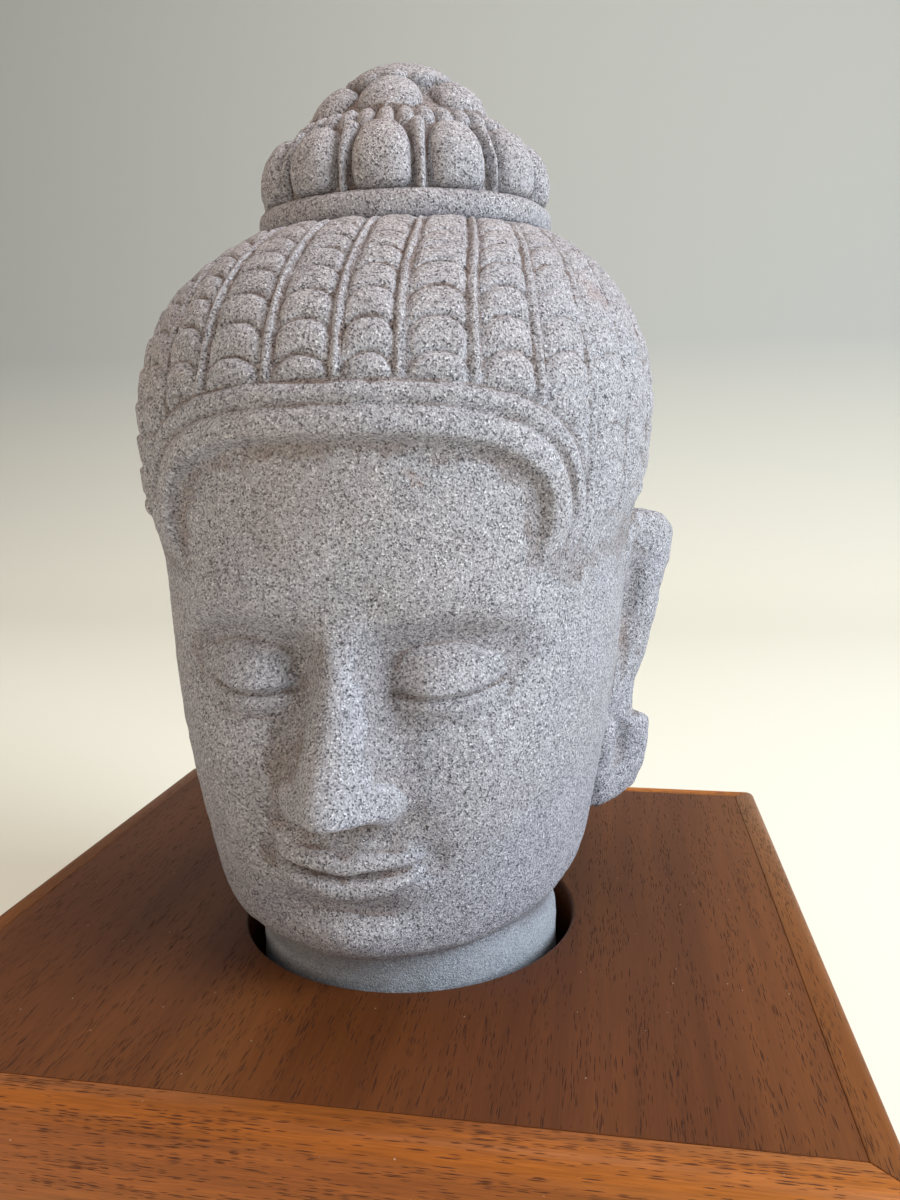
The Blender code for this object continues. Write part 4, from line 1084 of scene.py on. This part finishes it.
def build_panel(material):
    """The panel and its core, with eased edges and the recess with a rounded rim and floor."""
    middle = np.array((NECK_SHIFT, NECK_OFFSET))
    oval = np.array((NECK_WIDTH / 2 + RECESS_CLEARANCE, NECK_DEPTH / 2 + RECESS_CLEARANCE))
    half_x = STAND_WIDTH / 2 - EDGE_THICKNESS - PANEL_GAP
    half_y = STAND_DEPTH / 2 - EDGE_THICKNESS - PANEL_GAP
    around = rectangle(half_x, half_y, PANEL_STEPS) - middle
    around /= np.hypot(*around.T)[:, None]

    def outline(inset, z):
        flat = rectangle(half_x - inset, half_y - inset, PANEL_STEPS)
        return np.column_stack((flat, np.full(len(flat), z)))

    def ring(outset, z):
        reach = 1 / np.hypot(around[:, 0] / (oval[0] + outset), around[:, 1] / (oval[1] + outset))
        return np.column_stack((middle + around * reach[:, None], np.full(len(around), z)))

    rings = [outline(0.4 * half_y, 0), outline(PANEL_ARRIS, 0), outline(0, PANEL_ARRIS)]
    rings += [outline(0, STAND_HEIGHT - PANEL_ARRIS), outline(PANEL_ARRIS, STAND_HEIGHT)]
    floor = STAND_HEIGHT - RECESS_DEPTH
    for index in range(RIM_STEPS + 1):
        turn = math.pi / 2 * index / RIM_STEPS
        drop = RIM_ROUND * (1 - math.cos(turn))
        rings.append(ring(RIM_ROUND * (1 - math.sin(turn)), STAND_HEIGHT - drop))
    for index in range(RIM_STEPS + 1):
        turn = math.pi / 2 * index / RIM_STEPS
        rings.append(ring(-FLOOR_ROUND * (1 - math.cos(turn)), floor + FLOOR_ROUND * (1 - math.sin(turn))))
    points = np.concatenate(([(0, 0, 0)], *rings, [(*middle, floor)]))
    mesh = mesh_from("panel", points, *ring_faces(len(rings), 4 * PANEL_STEPS))
    mesh.shade_smooth()
    mesh.set_sharp_from_angle(angle=math.radians(40))
    panel = new_piece("panel", mesh, material)
    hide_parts("stand_panel")


def build_stand(materials):
    """The four boards and the panel with its recess."""
    half_width, half_depth = STAND_WIDTH / 2, STAND_DEPTH / 2
    for place, length, reach, turns in (
        ("front", STAND_WIDTH, half_depth, 0),
        ("right", STAND_DEPTH, half_width, 1),
        ("back", STAND_WIDTH, half_depth, 2),
        ("left", STAND_DEPTH, half_width, 3),
    ):
        # Front and back boards take the wood painted as lit, the side boards the same wood painted as
        # shade
        board = build_board("board_" + place, length, reach, turns, materials["edge", turns % 2])
        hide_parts("stand_edge_" + place)
    build_panel(materials["panel"])


def make_camera():
    """The photograph's camera."""
    data = bpy.data.cameras.new("camera")
    camera = linked("camera", data)
    data.sensor_width = SENSOR
    data.lens = FOCAL_PIXELS / FRAME_PIXELS * SENSOR
    level = math.cos(CAMERA_PITCH)
    forward = Vector(
        (-math.sin(CAMERA_YAW) * level, math.cos(CAMERA_YAW) * level, -math.sin(CAMERA_PITCH))
    )
    turn = forward.to_track_quat("-Z", "Y").to_matrix() @ Matrix.Rotation(CAMERA_ROLL, 3, "Z")
    camera.matrix_world = Matrix.Translation(CAMERA_PLACE) @ turn.to_4x4()
    bpy.context.scene.camera = camera


def add_light(name, place, size, power, colour):
    """A round lamp that looks at the head."""
    data = bpy.data.lights.new(name, "AREA")
    data.shape, data.size, data.energy, data.color = "DISK", size, power, colour
    light = linked(name, data)
    light.location = place
    light.rotation_mode = "QUATERNION"
    light.rotation_quaternion = (Vector(LIGHT_AIM) - Vector(place)).to_track_quat("-Z", "Y")


def make_stage():
    """Pale floor that sweeps up into a pale wall, and soft light."""
    bm = bmesh.new()
    profile = [(STAGE_FRONT, 0.0)]
    for index in range(SWEEP_STEPS + 1):
        angle = math.pi / 2 * index / SWEEP_STEPS
        y = STAGE_BACK - SWEEP_RADIUS + SWEEP_RADIUS * math.sin(angle)
        profile.append((y, SWEEP_RADIUS - SWEEP_RADIUS * math.cos(angle)))
    profile.append((STAGE_BACK, WALL_HEIGHT))
    left = [bm.verts.new((-STAGE_HALF_WIDTH, y, z)) for y, z in profile]
    right = [bm.verts.new((STAGE_HALF_WIDTH, y, z)) for y, z in profile]
    for i in range(len(profile) - 1):
        bm.faces.new((left[i], right[i], right[i + 1], left[i + 1]))
    mesh = bpy.data.meshes.new("floor")
    bm.to_mesh(mesh)
    bm.free()
    mesh.shade_smooth()
    floor = linked("floor", mesh)
    s = Shader("pale floor")
    s.join(s.ramp(s.axis(2), FLOOR_TONES), s.bsdf.inputs["Base Color"])
    s.bsdf.inputs["Roughness"].default_value = 0.9
    mesh.materials.append(s.material)
    world = bpy.data.worlds.new("world")
    world.use_nodes = True
    background = world.node_tree.nodes["Background"]
    background.inputs["Color"].default_value = WORLD_COLOUR
    background.inputs["Strength"].default_value = WORLD_STRENGTH
    bpy.context.scene.world = world
    for light in LIGHTS:
        add_light(*light)


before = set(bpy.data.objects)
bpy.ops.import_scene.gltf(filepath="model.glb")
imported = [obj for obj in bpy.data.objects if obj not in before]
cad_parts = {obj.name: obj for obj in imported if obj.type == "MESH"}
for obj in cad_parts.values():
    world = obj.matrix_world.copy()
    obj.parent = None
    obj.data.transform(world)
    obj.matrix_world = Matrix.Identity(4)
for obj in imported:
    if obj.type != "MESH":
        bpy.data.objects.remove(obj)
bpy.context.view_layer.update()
make_camera()
make_stage()
build_head(sandstone())
build_stand(
    {
        # Board wood painted as lit across X and as shade along Y
        ("edge", 0): wood("lit edge wood x", 0, LIT_EDGE_TONES, (0.038, 0.009, 0.005), 0.62, 0.40, 1.5),
        ("edge", 1): wood("shaded edge wood y", 1, SHADED_SIDE_TONES, (0.040, 0.013, 0.006), 0.50, 0.42, 1.0),
        "panel": wood("panel wood", 1, PANEL_TONES, (0.026, 0.008, 0.004), 0.36, 0.46, 0.8),
    }
)
bpy.context.scene.view_settings.view_transform = "Standard"
